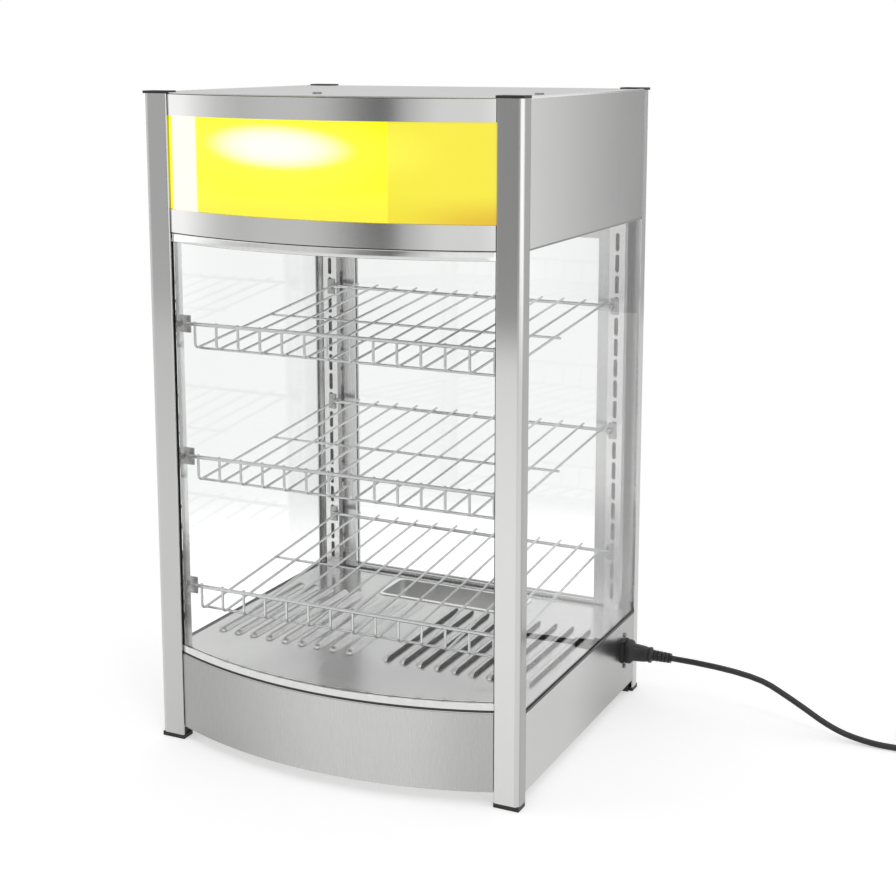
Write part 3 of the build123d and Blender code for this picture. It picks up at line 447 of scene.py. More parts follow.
@dataclass(frozen=True)
class SatinSteel(Finish):
    """Plain rolled or pressed sheet: even, a little cloudy, with wiped streaks."""

    name: str
    tone: float
    roughness: float
    wave: float = 0.00008
    cloud_scale: float = 26.0
    cloud_contrast: float = 0.10
    wipe_scale: Point = (40.0, 7.0, 40.0)
    grain_scale: Point = (240.0, 60.0, 240.0)
    grain_contrast: float = 0.05
    uneven: float = 0.12
    wave_share: float = 0.5
    white: Colour = (1.0, 0.997, 0.99)

    def paint(self, graph: Graph) -> Signal:
        """Builds the plain sheet."""
        cloud = graph.noise((self.cloud_scale,) * 3, 2.0)
        wipe = graph.noise(self.wipe_scale, 3.0)
        grain = graph.noise(self.grain_scale, 2.0)
        level = (cloud - 0.5) * self.cloud_contrast + (grain - 0.5) * self.grain_contrast + 1.0
        rough = self.roughness + (cloud - 0.5) * self.uneven + (wipe - 0.5) * self.uneven
        sockets = {
            "Base Color": graph.mix(level * self.tone, BLACK, self.white),
            "Metallic": 1.0,
            "Roughness": rough,
            "Normal": graph.bump(cloud, self.wave, self.wave_share),
        }
        return graph.signal("ShaderNodeBsdfPrincipled", sockets=sockets)


@dataclass(frozen=True)
class BrightMetal(Finish):
    """Plated or polished metal with faint dulled patches."""

    name: str
    colour: Colour
    roughness: float
    patch_scale: float = 150.0
    patch_share: float = 0.86
    dulling: float = 0.10

    def paint(self, graph: Graph) -> Signal:
        """Builds the bright metal."""
        patches = graph.noise((self.patch_scale,) * 3, 3.0)
        darker = tuple(self.patch_share * part for part in self.colour)
        sockets = {
            "Base Color": graph.mix(patches, darker, self.colour),
            "Metallic": 1.0,
            "Roughness": self.roughness + patches * self.dulling,
        }
        return graph.signal("ShaderNodeBsdfPrincipled", sockets=sockets)


@dataclass(frozen=True)
class ClearGlass(Finish):
    """Clear float glass that lets the lamps' light through."""

    name: str
    tint: Colour
    bending: float = 1.45
    gloss: float = 0.3

    def paint(self, graph: Graph) -> Signal:
        """Builds the glass, with a plain see-through stand-in for shadow rays."""
        sockets = {
            "Base Color": opaque(self.tint),
            "Roughness": 0.0,
            "IOR": self.bending,
            "Specular IOR Level": self.gloss,
            "Transmission Weight": 1.0,
        }
        glass = graph.signal("ShaderNodeBsdfPrincipled", sockets=sockets)
        through = graph.signal("ShaderNodeBsdfTransparent", sockets={"Color": opaque(self.tint)})
        shadow = graph.signal("ShaderNodeLightPath", output="Is Shadow Ray")
        return graph.signal("ShaderNodeMixShader", sockets={"Fac": shadow, 1: glass, 2: through})


@dataclass(frozen=True)
class LitSign(Finish):
    """Translucent yellow sheet whose light from one lamp behind it, near its left end, is painted as
    glow.

    The lamp's image is painted as a bright oval about glow_x and glow_z. A painted white highlight
    strip stands at the sheet's left end, and right of paler_from the glow is painted dimmer and warmer.
    """

    name: str
    glow_x: float
    glow_z: float
    bottom: float
    half_width: float = 0.060
    half_height: float = 0.0150
    tilt: float = 0.02
    core_reach: Span = (3.0, 0.0)
    halo_reach: Span = (11.0, 0.8)
    halo_share: float = 0.45
    strip_left: Span = (-0.195, -0.193)
    strip_right: Span = (-0.150, -0.155)
    paler_from: Span = (0.0905, 0.0925)
    far_end: Span = (0.09, 0.20)
    fold_height: float = 0.034
    fade_height: float = 0.075
    mottle_scale: Point = (22.0, 22.0, 40.0)
    far_dimming: float = 0.6
    mottle_dimming: float = 0.3
    near_fold: float = 0.22
    far_fold: float = 0.75
    roughness: float = 0.05
    uneven: float = 0.03
    bending: float = 1.5
    gloss: float = 0.25
    low_glow: Colour = (0.84, 0.82, 0.075)
    high_glow: Colour = (0.84, 0.82, 0.0)
    dim_near: Colour = (0.70, 0.64, 0.060)
    dim_far: Colour = (0.68, 0.59, 0.056)
    fold_glow: Colour = (0.56, 0.30, 0.035)
    halo: Colour = (0.97, 0.97, 0.14)
    core: Colour = (1.1, 1.1, 0.93)
    strip: Colour = (1.0, 0.99, 0.86)
    sheet_dark: Colour = (0.33, 0.29, 0.004)
    sheet_pale: Colour = (0.37, 0.33, 0.006)

    def paint(self, graph: Graph) -> Signal:
        """Builds the sheet's body colour and its painted light: the lamp's glow, dimmer parts, the
        lamp's bright image and a highlight strip.
        """
        x, _, z = graph.axes(graph.place())
        off_x = (x - self.glow_x) / self.half_width
        off_z = (z - self.glow_z + (x - self.glow_x) * self.tilt) / self.half_height
        apart = off_x * off_x + off_z * off_z
        above = z - self.bottom
        far_end = x.smooth(*self.far_end)
        mottle = graph.noise(self.mottle_scale, 2.0)
        # Painted backlight: the lamp's even glow through the sheet, a little paler low down.
        glow = graph.mix(above.smooth(0.0, self.fade_height), self.low_glow, self.high_glow)
        # Painted shade: the glow is dimmer and warmer right of paler_from, more so towards the far end,
        # unevenly.
        dimming = far_end * self.far_dimming + mottle * self.mottle_dimming
        dimmed = graph.mix(dimming, self.dim_near, self.dim_far)
        glow = graph.mix(x.smooth(*self.paler_from), glow, dimmed)
        # Painted shade: a dimmer orange band along the bottom, deeper towards the far end.
        fold_share = far_end * self.far_fold + self.near_fold
        fold = (above.smooth(self.fold_height, 0.0) * fold_share).at_most(1.0)
        glow = graph.mix(fold, glow, self.fold_glow)
        # Painted light: the lamp's bright image, a halo with a core.
        glow = graph.mix(apart.smooth(*self.halo_reach) * self.halo_share, glow, self.halo)
        glow = graph.mix(apart.smooth(*self.core_reach), glow, self.core)
        # Painted highlight: a white strip at the left end.
        strip = x.smooth(*self.strip_left) * x.smooth(*self.strip_right)
        glow = graph.mix(strip, glow, self.strip)
        sockets = {
            "Base Color": graph.mix(mottle, self.sheet_dark, self.sheet_pale),
            "Roughness": self.roughness + mottle * self.uneven,
            "IOR": self.bending,
            "Specular IOR Level": self.gloss,
            "Emission Color": glow,
            "Emission Strength": 1.0,
        }
        return graph.signal("ShaderNodeBsdfPrincipled", sockets=sockets)


@dataclass(frozen=True)
class MouldedPlastic(Finish):
    """Moulded plastic or rubber with a fine grain and a trace of dust."""

    name: str
    colour: Colour
    roughness: float = 0.42
    grain_pitch: float = 0.0006
    grain_depth: float = 0.00003
    glow: float = 0.0
    dust_scale: float = 70.0
    dust_change: Span = (0.35, 0.80)
    dust_gain: float = 1.25
    dust_lift: float = 0.006
    uneven: float = 0.16
    grain_share: float = 0.5

    def tinted(self, graph: Graph, colour: Signal) -> Signal:
        """The plastic's colour after any change from place to place."""
        return colour

    def paint(self, graph: Graph) -> Signal:
        """Builds the plastic."""
        fine = graph.noise((1.0 / self.grain_pitch,) * 3, 2.0)
        dust = graph.noise((self.dust_scale,) * 3, 4.0)
        paler = tuple(part * self.dust_gain + self.dust_lift for part in self.colour)
        dusted = graph.mix(dust.smooth(*self.dust_change), self.colour, paler)
        sockets = {
            "Base Color": self.tinted(graph, dusted),
            "Roughness": self.roughness + (dust - 0.5) * self.uneven,
            "Normal": graph.bump(fine, self.grain_depth, self.grain_share),
            "Emission Color": opaque(self.colour),
            "Emission Strength": self.glow,
        }
        return graph.signal("ShaderNodeBsdfPrincipled", sockets=sockets)


@dataclass(frozen=True)
class SideSeal(MouldedPlastic):
    """A seal painted by height: black in its lower run, partly as painted shade in the gap at the base,
    pale in its upper run, and pale on the flat lip of its lower run as a painted highlight.
    """

    pale_from: Span = (0.49, 0.51)
    pale: Colour = (0.40, 0.40, 0.40)
    lip: Span = (0.1056, 0.1066)
    lip_edge: float = 0.0001

    def tinted(self, graph: Graph, colour: Signal) -> Signal:
        """Pale in the upper run, pale on the lip as a painted highlight, and black elsewhere, partly as
        painted shade.
        """
        _, _, z = graph.axes(graph.place())
        low, high = self.lip
        edge = self.lip_edge
        lip = z.smooth(low - edge, low + edge) * z.smooth(high + edge, high - edge)
        return graph.mix(lip.at_least(z.smooth(*self.pale_from)), colour, self.pale)


@dataclass(frozen=True)
class HeatTint(Finish):
    """A heating rod's sheath: dark oxidised steel with straw and blue tints."""

    name: str
    straw: Colour = (0.30, 0.22, 0.15)
    blue: Colour = (0.16, 0.17, 0.22)
    drift_scale: float = 12.0
    tint_change: Span = (0.4, 0.6)
    roughness: float = 0.35
    uneven: float = 0.2

    def paint(self, graph: Graph) -> Signal:
        """Builds the tinted sheath."""
        drift = graph.noise((self.drift_scale,) * 3, 2.0)
        sockets = {
            "Base Color": graph.mix(drift.smooth(*self.tint_change), self.straw, self.blue),
            "Metallic": 1.0,
            "Roughness": self.roughness + drift * self.uneven,
        }
        return graph.signal("ShaderNodeBsdfPrincipled", sockets=sockets)


class Finishes:
    """Every finish of the case."""

    post = BrushedSteel(
        "post_brushed_upright", 0.60, Grain.ALONG_Z, 0.22, 0.6, line_contrast=0.05, ridge=0.08
    )
    # The front posts' shares set their painted reflections: lighter low down and darker high up on the
    # face, darker on the flank.
    front_right = PostSteel(
        "post_brushed_front_right",
        0.62,
        Grain.ALONG_Z,
        roughness=0.22,
        stretch=0.6,
        ridge=0.12,
        low_share=1.18,
        high_share=0.66,
    )
    front_left = replace(front_right, name="post_brushed_front_left", low_share=0.92, high_share=0.80)
    panel = BrushedSteel(
        "panel_brushed_upright",
        0.60,
        Grain.ALONG_Z,
        roughness=0.27,
        stretch=0.6,
        line_pitch=0.0007,
        line_contrast=0.02,
        ridge=0.035,
    )
    door = replace(panel, name="door_brushed", tone=0.58, roughness=0.26, stretch=0.5)
    front = BowedSteel("front_brushed_upright", 0.54, Grain.ALONG_Z, 0.27, 0.6, 0.0, 0.0007, 0.03, 0.06)
    band = BrushedSteel("band_brushed_level", 0.63, Grain.ALONG_X, 0.14, 0.9, 0.25, 0.0007, 0.06)
    side = BrushedSteel("side_brushed_upright", 0.62, Grain.ALONG_Z, 0.14, 0.2, 0.0, 0.0009, 0.05)
    flank = FlankSteel("flank_brushed_upright", 0.62, Grain.ALONG_Z, 0.24, 0.2, 0.0, 0.0009, 0.04, 0.10)
    cover = BrushedSteel("cover_brushed", 0.58, Grain.ALONG_X, 0.30, 0.0, 0.0, 0.0009, 0.06)
    floor = SatinSteel("cabin_floor_sheet", 0.57, 0.20)
    hidden = SatinSteel("inner_sheet", 0.70, 0.36)
    fitting = SatinSteel("shelf_fitting_steel", 0.76, 0.24)
    clip = SatinSteel("shelf_clip_steel", 0.36, 0.26)
    pan = SatinSteel("pan_pressing", 0.82, 0.30)
    bead = BrightMetal("polished_bead", (0.80, 0.80, 0.79), 0.04)
    wire = BrightMetal("plated_wire", (0.60, 0.60, 0.61), 0.14)
    screw = BrightMetal("plated_screw", (0.66, 0.66, 0.66), 0.2)
    hinge = BrightMetal("hinge_steel", (0.40, 0.40, 0.41), 0.28)
    dark_screw = BrightMetal("darkened_screw", (0.30, 0.30, 0.30), 0.3)
    # Near white, far lighter than the cover's steel: the rounded hem is real, its whiteness a painted
    # highlight along the fold.
    hem = BrightMetal("folded_hem", (0.96, 0.96, 0.95), 0.25)
    brass = BrightMetal("brass_shaft", (0.72, 0.56, 0.26), 0.2)
    glass = ClearGlass("clear_float_glass", (0.955, 0.962, 0.958))
    lamp = MouldedPlastic("frosted_lamp", (0.95, 0.93, 0.86), 0.5, glow=1.2)
    socket = MouldedPlastic("white_lamp_socket", (0.75, 0.74, 0.70))
    terminal = MouldedPlastic("cream_terminal", (0.62, 0.58, 0.45))
    black = MouldedPlastic("black_moulding", (0.012, 0.012, 0.012), 0.45)
    gloss = MouldedPlastic("black_gloss", (0.010, 0.010, 0.010), 0.2, 0.0009, 0.00001)
    rubber = MouldedPlastic("black_seal", (0.045, 0.045, 0.045), 0.62)
    side_seal = SideSeal("side_seal", (0.018, 0.018, 0.018), 0.62)
    cord = MouldedPlastic("lead_sheath", (0.014, 0.014, 0.015), 0.38, 0.0008, 0.00002)
    red = MouldedPlastic("red_rocker", (0.50, 0.012, 0.010), 0.18, 0.001, 0.00001, 0.10)
    amber = MouldedPlastic("amber_pilot", (0.85, 0.26, 0.02), 0.15, 0.001, 0.00001, 0.25)
    mark = MouldedPlastic("white_mark", (0.80, 0.80, 0.78), 0.5)
    print_black = MouldedPlastic("dial_print", (0.02, 0.02, 0.02), 0.5)
    element = HeatTint("element_sheath")


# Objects and meshes


def clamp(share: float) -> float:
    """A share kept between 0 and 1."""
    return min(max(share, 0.0), 1.0)


def eased(share: float) -> float:
    """A share from 0 to 1 that starts and ends level."""
    return share**2 * (3 - 2 * share)


def add_object(name: str, data: bpy.types.ID) -> bpy.types.Object:
    """Puts new data in the scene as an object."""
    made = bpy.data.objects.new(name, data)
    bpy.context.scene.collection.objects.link(made)
    return made


def new_piece(
    name: str,
    mesh: bpy.types.Mesh,
    finish: Finish,
    body: str,
) -> bpy.types.Object:
    """Puts a mesh in the scene as a piece that rides on a body.

    Args:
        name: The piece's name.
        mesh: Its mesh, in the case's frame.
        finish: Its finish.
        body: The body that carries it.

    Returns:
        The new object.
    """
    piece = add_object(name, mesh)
    mesh.materials.append(finish.material())
    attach(piece, body)
    LOG.info("piece %s on %s", name, body)
    return piece


@dataclass(frozen=True)
class Section:
    """One rounded cross-section of a moulded body that runs along +X."""

    x: float
    half_y: float
    half_z: float
    squareness: float = 2.0

    def ring(self, centre_y: float, centre_z: float, count: int) -> list[Vector]:
        """The section's outline as points.

        Args:
            centre_y: Y of the body's axis.
            centre_z: Z of the body's axis.
            count: How many points go round.

        Returns:
            The points, in order round the section.
        """
        points = []
        power = 2.0 / self.squareness
        for index in range(count):
            angle = 2 * math.pi * index / count
            c, s = math.cos(angle), math.sin(angle)
            y = self.half_y * math.copysign(abs(c) ** power, c)
            z = self.half_z * math.copysign(abs(s) ** power, s)
            points.append(Vector((self.x, centre_y + y, centre_z + z)))
        return points


def loft(
    name: str,
    sections: Sequence[Section],
    centre: Span,
    count: int = 40,
) -> bpy.types.Mesh:
    """A closed smooth body through a row of sections.

    Args:
        name: The mesh's name.
        sections: The sections, in order along +X.
        centre: Y and Z of the body's axis.
        count: How many points go round each section.

    Returns:
        The new mesh.
    """
    build = bmesh.new()
    rings = [[build.verts.new(point) for point in part.ring(*centre, count)] for part in sections]
    for near, far in zip(rings, rings[1:]):
        for index in range(count):
            following = (index + 1) % count
            build.faces.new((near[index], near[following], far[following], far[index]))
    build.faces.new(list(reversed(rings[0])))
    build.faces.new(rings[-1])
    bmesh.ops.recalc_face_normals(build, faces=build.faces)
    mesh = bpy.data.meshes.new(name)
    build.to_mesh(mesh)
    build.free()
    mesh.shade_smooth()
    mesh.set_sharp_from_angle(angle=CREASE)
    return mesh


# Sub-assemblies


@dataclass
class SubAssembly:
    """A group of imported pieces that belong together."""

    nodes: Nodes

    def build(self) -> None:
        """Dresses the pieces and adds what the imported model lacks."""
        raise NotImplementedError

    def dress(self, names: Iterable[str], finish: Finish, edge: float = 0.0, steps: int = 2) -> None:
        """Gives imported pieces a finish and, where wanted, softened edges.

        Args:
            names: The pieces to dress.
            finish: Their finish.
            edge: Width of the softened edge, in metres, or 0 for none.
            steps: How many facets the softened edge has.
        """
        for name in names:
            piece = self.nodes[name]
            for slot in piece.material_slots:
                slot.material = finish.material()
            if edge > 0:
                weld = piece.modifiers.new("weld", "WELD")
                weld.merge_threshold = WELD_REACH
                bevel = piece.modifiers.new("soft_edge", "BEVEL")
                bevel.width = edge
                bevel.segments = steps
                bevel.limit_method = "ANGLE"
                bevel.angle_limit = CREASE
                bevel.harden_normals = True
            LOG.info("dressed %s with %s", name, finish.name)


@dataclass
class Frame(SubAssembly):
    """Four folded posts with their black caps and feet."""

    edge: float = 0.0004

    def build(self) -> None:
        """Dresses the posts, caps and feet."""
        self.dress(["post_rear_left", "post_rear_right"], Finishes.post)
        self.dress(["post_front_left"], Finishes.front_left)
        self.dress(["post_front_right"], Finishes.front_right)
        self.dress(["post_caps", "post_feet"], Finishes.black, self.edge)


@dataclass
class Base(SubAssembly):
    """The heated base: bowed front, flat sides and rear, bottom plate and what they hold."""

    edge: float = 0.0003

    def build(self) -> None:
        """Dresses the base's panels and inner parts."""
        self.dress(["base_front_panel"], Finishes.front)
        self.dress(["base_rear_panel"], Finishes.panel)
        self.dress(["base_side_panel_left", "base_side_panel_right"], Finishes.flank)
        self.dress(["base_bottom_plate", "element_brackets"], Finishes.hidden)
        self.dress(["heating_element"], Finishes.element)
        self.dress(["terminal_block"], Finishes.terminal, self.edge)
        self.dress(["power_inlet"], Finishes.gloss, self.edge)
        self.dress(["inlet_screws"], Finishes.dark_screw)


@dataclass
class Cabin(SubAssembly):
    """The glazed cabin: louvred floor, water pan, glass, seals and the fittings for the shelves."""

    bead_round: float = 0.0040
    bead_steps: int = 6

    def build(self) -> None:
        """Dresses the cabin."""
        self.dress(["deck_plate"], Finishes.floor)
        self.dress(["water_pan"], Finishes.pan)
        self.dress(["front_glass", "side_glass_left", "side_glass_right"], Finishes.glass)
        self.dress(["front_seals"], Finishes.rubber)
        self.dress(["side_seals"], Finishes.side_seal)
        self.dress(["front_glass_sill"], Finishes.bead)
        self.dress(["front_glass_bead"], Finishes.bead, self.bead_round, self.bead_steps)
        self.dress(["shelf_standards"], Finishes.fitting)
        self.dress(["shelf_clips"], Finishes.clip)
        self.dress(["shelf_top", "shelf_middle", "shelf_bottom"], Finishes.wire)


@dataclass
class SignBox(SubAssembly):
    """The lit sign box on top: bands, yellow panel, lamp, side and rear panels and cover.

    A hem ends in a rounded tip, whose radius is hem_tip times the hem's own, and stands out past
    the cover by hem_reach.
    """

    glow_x: float = -0.040
    glow_z: float = 0.704
    hem_radius: float = 0.0012
    hem_reach: float = 0.0008
    hem_tip: float = 0.6
    hem_facets: int = 20

    def build(self) -> None:
        """Dresses the sign box and hems its cover."""
        sign = LitSign("lit_sign_sheet", self.glow_x, self.glow_z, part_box("light_panel")[0].z)
        self.dress(["light_panel"], sign)
        self.dress(["top_front_band", "lower_front_band"], Finishes.band)
        self.dress(["upper_side_panel_left", "upper_side_panel_right"], Finishes.side)
        self.dress(["upper_rear_panel"], Finishes.panel)
        self.dress(["top_cover"], Finishes.cover)
        self.dress(["ceiling_plate"], Finishes.hidden)
        self.dress(["cover_screws"], Finishes.dark_screw)
        self.dress(["lamp"], Finishes.lamp)
        self.dress(["lamp_holder"], Finishes.socket)
        for side, label in ((-1, "left"), (1, "right")):
            self._hem(side, f"cover_hem_{label}")

    def _hem(self, side: int, name: str) -> None:
        """Folds a rounded hem along one side of the cover.

        Args:
            side: -1 for the left side and 1 for the right.
            name: The piece's name.
        """
        low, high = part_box("top_cover")
        near, far = (corner.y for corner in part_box("upper_side_panel_right"))
        full = self.hem_radius
        tip = full * self.hem_tip
        middle = side * (high.x + self.hem_reach - full)
        rows = ((near, tip), (near + full, full), (far - full, full), (far, tip))
        sections = [Section(y, radius, radius) for y, radius in rows]
        mesh = loft(name, sections, (-middle, (low.z + high.z) / 2), self.hem_facets)
        mesh.transform(Matrix.Rotation(math.pi / 2, 4, "Z"))
        # The hem's near-white finish is a painted highlight on the cover's fold.
        new_piece(name, mesh, Finishes.hem, "case")


@dataclass
class Door(SubAssembly):
    """The rear door with its glass, handle, hinges and catch."""

    edge: float = 0.0004

    def build(self) -> None:
        """Dresses the door."""
        self.dress(["door_frame"], Finishes.door)
        self.dress(["door_glass"], Finishes.glass)
        self.dress(["door_handle"], Finishes.wire)
        self.dress(["hinge_post_leaves", "hinge_door_leaves"], Finishes.hinge, self.edge)
        self.dress(["hinge_pins", "catch_strike"], Finishes.screw)
        self.dress(["door_catch"], Finishes.black, self.edge)


@dataclass
class Controls(SubAssembly):
    """Thermostat knob with its dial, pilot lamp and the two rocker switches on the rear panel.

    The pointer is a line on the knob's face, given by its width and by how far from the knob's
    axis it starts and ends. The sweep is in degrees.
    """

    numbers: tuple[str, ...] = ("0", "30", "45", "60", "75", "90")
    dial_radius: float = 0.0238
    digit_height: float = 0.0072
    sweep: float = 270.0
    mark_offset: float = 0.0195
    pointer: tuple[float, float, float] = (0.0014, 0.0060, 0.0155)
    pointer_depth: float = 0.0002
    print_depth: float = 0.00005
    print_lift: float = 0.00006
    edge: float = 0.0003

    def build(self) -> None:
        """Dresses the controls and prints the dial and the switch marks."""
        self.dress(["thermostat", "thermostat_knob"], Finishes.black)
        self.dress(["thermostat_shaft"], Finishes.brass)
        self.dress(["pilot_lamp"], Finishes.amber)
        self.dress(["switch_housings"], Finishes.gloss, self.edge)
        self.dress(["power_rocker"], Finishes.red)
        self.dress(["light_rocker"], Finishes.gloss)
        self._dial()
        self._pointer()
        for name in ("power_rocker", "light_rocker"):
            self._switch_marks(name)

    def _middle(self, name: str) -> Vector:
        """The place on the rear panel's outer face behind a piece's middle."""
        low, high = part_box(name)
        return Vector(((low.x + high.x) / 2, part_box("base_rear_panel")[1].y, (low.z + high.z) / 2))

    def _dial(self) -> None:
        """Prints the dial's numbers round the knob."""
        centre = self._middle("thermostat_shaft")
        for index, number in enumerate(self.numbers):
            angle = math.radians(self.sweep * (index / (len(self.numbers) - 1) - 0.5))
            offset = Vector((-math.sin(angle), 0.0, math.cos(angle))) * self.dial_radius
            self._stamp(f"dial_number_{number}", number, centre + offset)

    def _pointer(self) -> None:
        """Lays a white pointer line on the knob's face."""
        width, near, far = self.pointer
        centre = self._middle("thermostat_shaft")
        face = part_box("thermostat_knob")[1].y
        build = bmesh.new()
        bmesh.ops.create_cube(build, size=1.0)
        for corner in build.verts:
            corner.co.x = centre.x + corner.co.x * width
            corner.co.y = face + corner.co.y * self.pointer_depth
            corner.co.z = centre.z + (far if corner.co.z > 0 else near)
        mesh = bpy.data.meshes.new("knob_pointer")
        build.to_mesh(mesh)
        build.free()
        new_piece("knob_pointer", mesh, Finishes.mark, "knob")

    def _switch_marks(self, name: str) -> None:
        """Prints the on and off marks above and below one rocker."""
        centre = self._middle(name)
        for text, side in (("I", 1), ("O", -1)):
            offset = Vector((0.0, 0.0, side * self.mark_offset))
            self._stamp(f"{name}_mark_{text}", text, centre + offset)

    def _stamp(self, name: str, text: str, place: Vector) -> None:
        """Prints one number or mark flat on the rear panel.

        Args:
            name: The piece's name.
            text: The number or mark.
            place: Its middle, on the panel's outer face.
        """
        curve = bpy.data.curves.new(name, "FONT")
        curve.body = text
        curve.size = self.digit_height
        curve.align_x = "CENTER"
        curve.align_y = "CENTER"
        curve.extrude = self.print_depth
        source = add_object(name + "_outline", curve)
        bpy.context.view_layer.update()
        outline = source.evaluated_get(bpy.context.evaluated_depsgraph_get())
        mesh = bpy.data.meshes.new_from_object(outline)
        bpy.data.objects.remove(source)
        mesh.transform(Euler((math.pi / 2, 0.0, math.pi)).to_matrix().to_4x4())
        for corner in mesh.vertices:
            corner.co += place + Vector((0.0, self.print_lift, 0.0))
        mesh.materials.clear()
        new_piece(name, mesh, Finishes.print_black, "case")


@dataclass
class MainsLead:
    """The black lead with its moulded connector, its coil of spare length and its plug.

    The coil's turns are wound in on the floor, climb a layer, come out again and rise to the plug.
    The rows give the mouldings' sections: a place along +X, then half sizes, or a radius, and for
    the connector how square it is. A rib of a strain relief is cut rib_cut deep where its profile
    says 1.
    """

    diameter: float = 0.0072
    length: float = 1.85
    outlet: Span = (0.144, 0.0665)
    floor_gap: float = 0.00005
    coil_centre_x: float = 0.618
    coil_outer: float = 0.0515
    coil_gap: float = 0.0006
    wind_turns: float = 2.75
    climb_turns: float = 0.5
    return_turns: float = 2.5
    rise_turns: float = 0.25
    plug_level: float = 0.0186
    points_per_turn: int = 16
    round_steps: int = 5
    run_steps: int = 6
    spline_order: int = 3
    rib_profile: tuple[Span, ...] = ((0.0, 0.0), (0.62, 0.0), (0.70, 1.0), (0.92, 1.0))
    rib_cut: float = 0.0013
    relief_ribs: int = 5
    relief_gap: float = 0.0004
    connector_relief: float = 0.0240
    connector_taper: Span = (0.0070, 0.0061)
    connector_body: float = 0.0330
    connector_rows: tuple[tuple[float, ...], ...] = (
        (-0.0170, 0.0079, 0.0119, 7.0),
        (-0.0004, 0.0079, 0.0119, 7.0),
        (0.0, 0.0096, 0.0134, 6.0),
        (0.0010, 0.0100, 0.0140, 5.0),
        (0.0060, 0.0100, 0.0140, 4.0),
        (0.0080, 0.0094, 0.0124, 3.6),
        (0.0092, 0.0085, 0.0103, 3.4),
        (0.0220, 0.0080, 0.0096, 3.0),
        (0.0285, 0.0074, 0.0086, 2.6),
        (0.0295, 0.0084, 0.0096, 2.4),
        (0.0318, 0.0084, 0.0096, 2.4),
        (0.0330, 0.0070, 0.0072, 2.2),
    )
    plug_relief: float = 0.0260
    plug_taper: Span = (0.0050, 0.0074)
    plug_body: float = 0.0360
    plug_facets: int = 56
    plug_rows: tuple[Span, ...] = (
        (0.0, 0.0090),
        (0.0060, 0.0132),
        (0.0140, 0.0150),
        (0.0220, 0.0160),
        (0.0250, 0.0183),
        (0.0348, 0.0185),
        (0.0360, 0.0172),
    )
    pin_rows: tuple[Span, ...] = ((-0.0010, 0.0024), (0.0165, 0.0024), (0.0190, 0.0013))
    pin_offset: float = 0.0095
    pin_facets: int = 24
    route: list[Point] = field(default_factory=list)

    def build(self) -> None:
        """Builds the lead, its connector and its plug."""
        self.route = self._run_points() + self._coil_points()
        curve = bpy.data.curves.new("mains_lead", "CURVE")
        curve.dimensions = "3D"
        curve.bevel_depth = self.diameter / 2
        curve.bevel_resolution = self.round_steps
        curve.resolution_u = self.run_steps
        curve.use_fill_caps = True
        spline = curve.splines.new("NURBS")
        spline.points.add(len(self.route) - 1)
        for point, place in zip(spline.points, self.route):
            point.co = (*place, 1.0)
        spline.order_u = self.spline_order
        spline.use_endpoint_u = True
        lead = add_object("mains_lead", curve)
        curve.materials.append(Finishes.cord.material())
        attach(lead, "case")
        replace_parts(lead, "cord_run", "cord_coil")
        connector = self._connector()
        plug, pins = self._plug()
        LOG.info("piece mains_lead, %d points", len(self.route))

    def _floor_level(self) -> float:
        """Height of the lead's middle where it lies on the floor."""
        return self.diameter / 2 + self.floor_gap

    def _run_points(self) -> list[Point]:
        """The free stretch from the connector down to the floor."""
        y, z = self.outlet
        floor = self._floor_level()
        return [
            (0.2905, y, z),
            (0.3880, y, z),
            (0.4440, y + 0.0025, 0.0380),
            (0.4920, y + 0.0015, 0.0110),
            (0.5360, y - 0.0015, floor),
            (0.5760, y, floor),
            (self.coil_centre_x - self.diameter, y, floor),
        ]

    def _coil_points(self) -> list[Point]:
        """The wound spare length: in on the floor, up a layer, out again and off to the plug."""
        pitch = self.diameter + self.coil_gap
        floor = self._floor_level()
        inner = self.coil_outer - pitch * self.wind_turns
        centre_y = self.outlet[0] + self.coil_outer
        turns = self.wind_turns + self.climb_turns + self.return_turns + self.rise_turns
        count = round(turns * self.points_per_turn)
        points = []
        for index in range(count + 1):
            turn = turns * index / count
            climb = clamp((turn - self.wind_turns) / self.climb_turns)
            back = turn - self.wind_turns - self.climb_turns
            rise = clamp((back - self.return_turns) / self.rise_turns)
            if back < 0:
                dip = pitch * self.climb_turns * climb * (1 - climb)
                radius = self.coil_outer - pitch * min(turn, self.wind_turns) - dip
            else:
                radius = inner + pitch * back
            level = floor + pitch * eased(climb)
            level += (self.plug_level - floor - pitch) * eased(rise)
            angle = 2 * math.pi * turn - math.pi / 2
            x = self.coil_centre_x + radius * math.cos(angle)
            points.append((x, centre_y + radius * math.sin(angle), level))
        last = points[-1]
        return [*points, (last[0] + self.diameter, last[1], last[2])]

    def _relief(self, start: float, end: float, taper: Span) -> list[Section]:
        """A ribbed, tapered strain relief.

        Args:
            start: X where it starts.
            end: X where it ends.
            taper: Its radius at its start and at its end.

        Returns:
            Its sections in order along +X.
        """
        first, last = taper
        sections = []
        pitch = (end - start) / self.relief_ribs
        for rib in range(self.relief_ribs):
            for share, cut in self.rib_profile:
                x = start + (rib + share) * pitch
                radius = first + (last - first) * (x - start) / (end - start) - self.rib_cut * cut
                sections.append(Section(x, radius, radius))
        sections.append(Section(end, last, last))
        return sections

    def _connector(self) -> bpy.types.Object:
        """The moulded connector that stands in the inlet."""
        end = self.route[0][0]
        grip = end - self.connector_relief
        start = grip - self.connector_body
        sections = [Section(start + x, *sizes) for x, *sizes in self.connector_rows]
        sections += self._relief(grip + self.relief_gap, end, self.connector_taper)
        mesh = loft("mains_connector", sections, self.outlet)
        piece = new_piece("mains_connector", mesh, Finishes.cord, "case")
        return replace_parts(piece, "cord_connector")

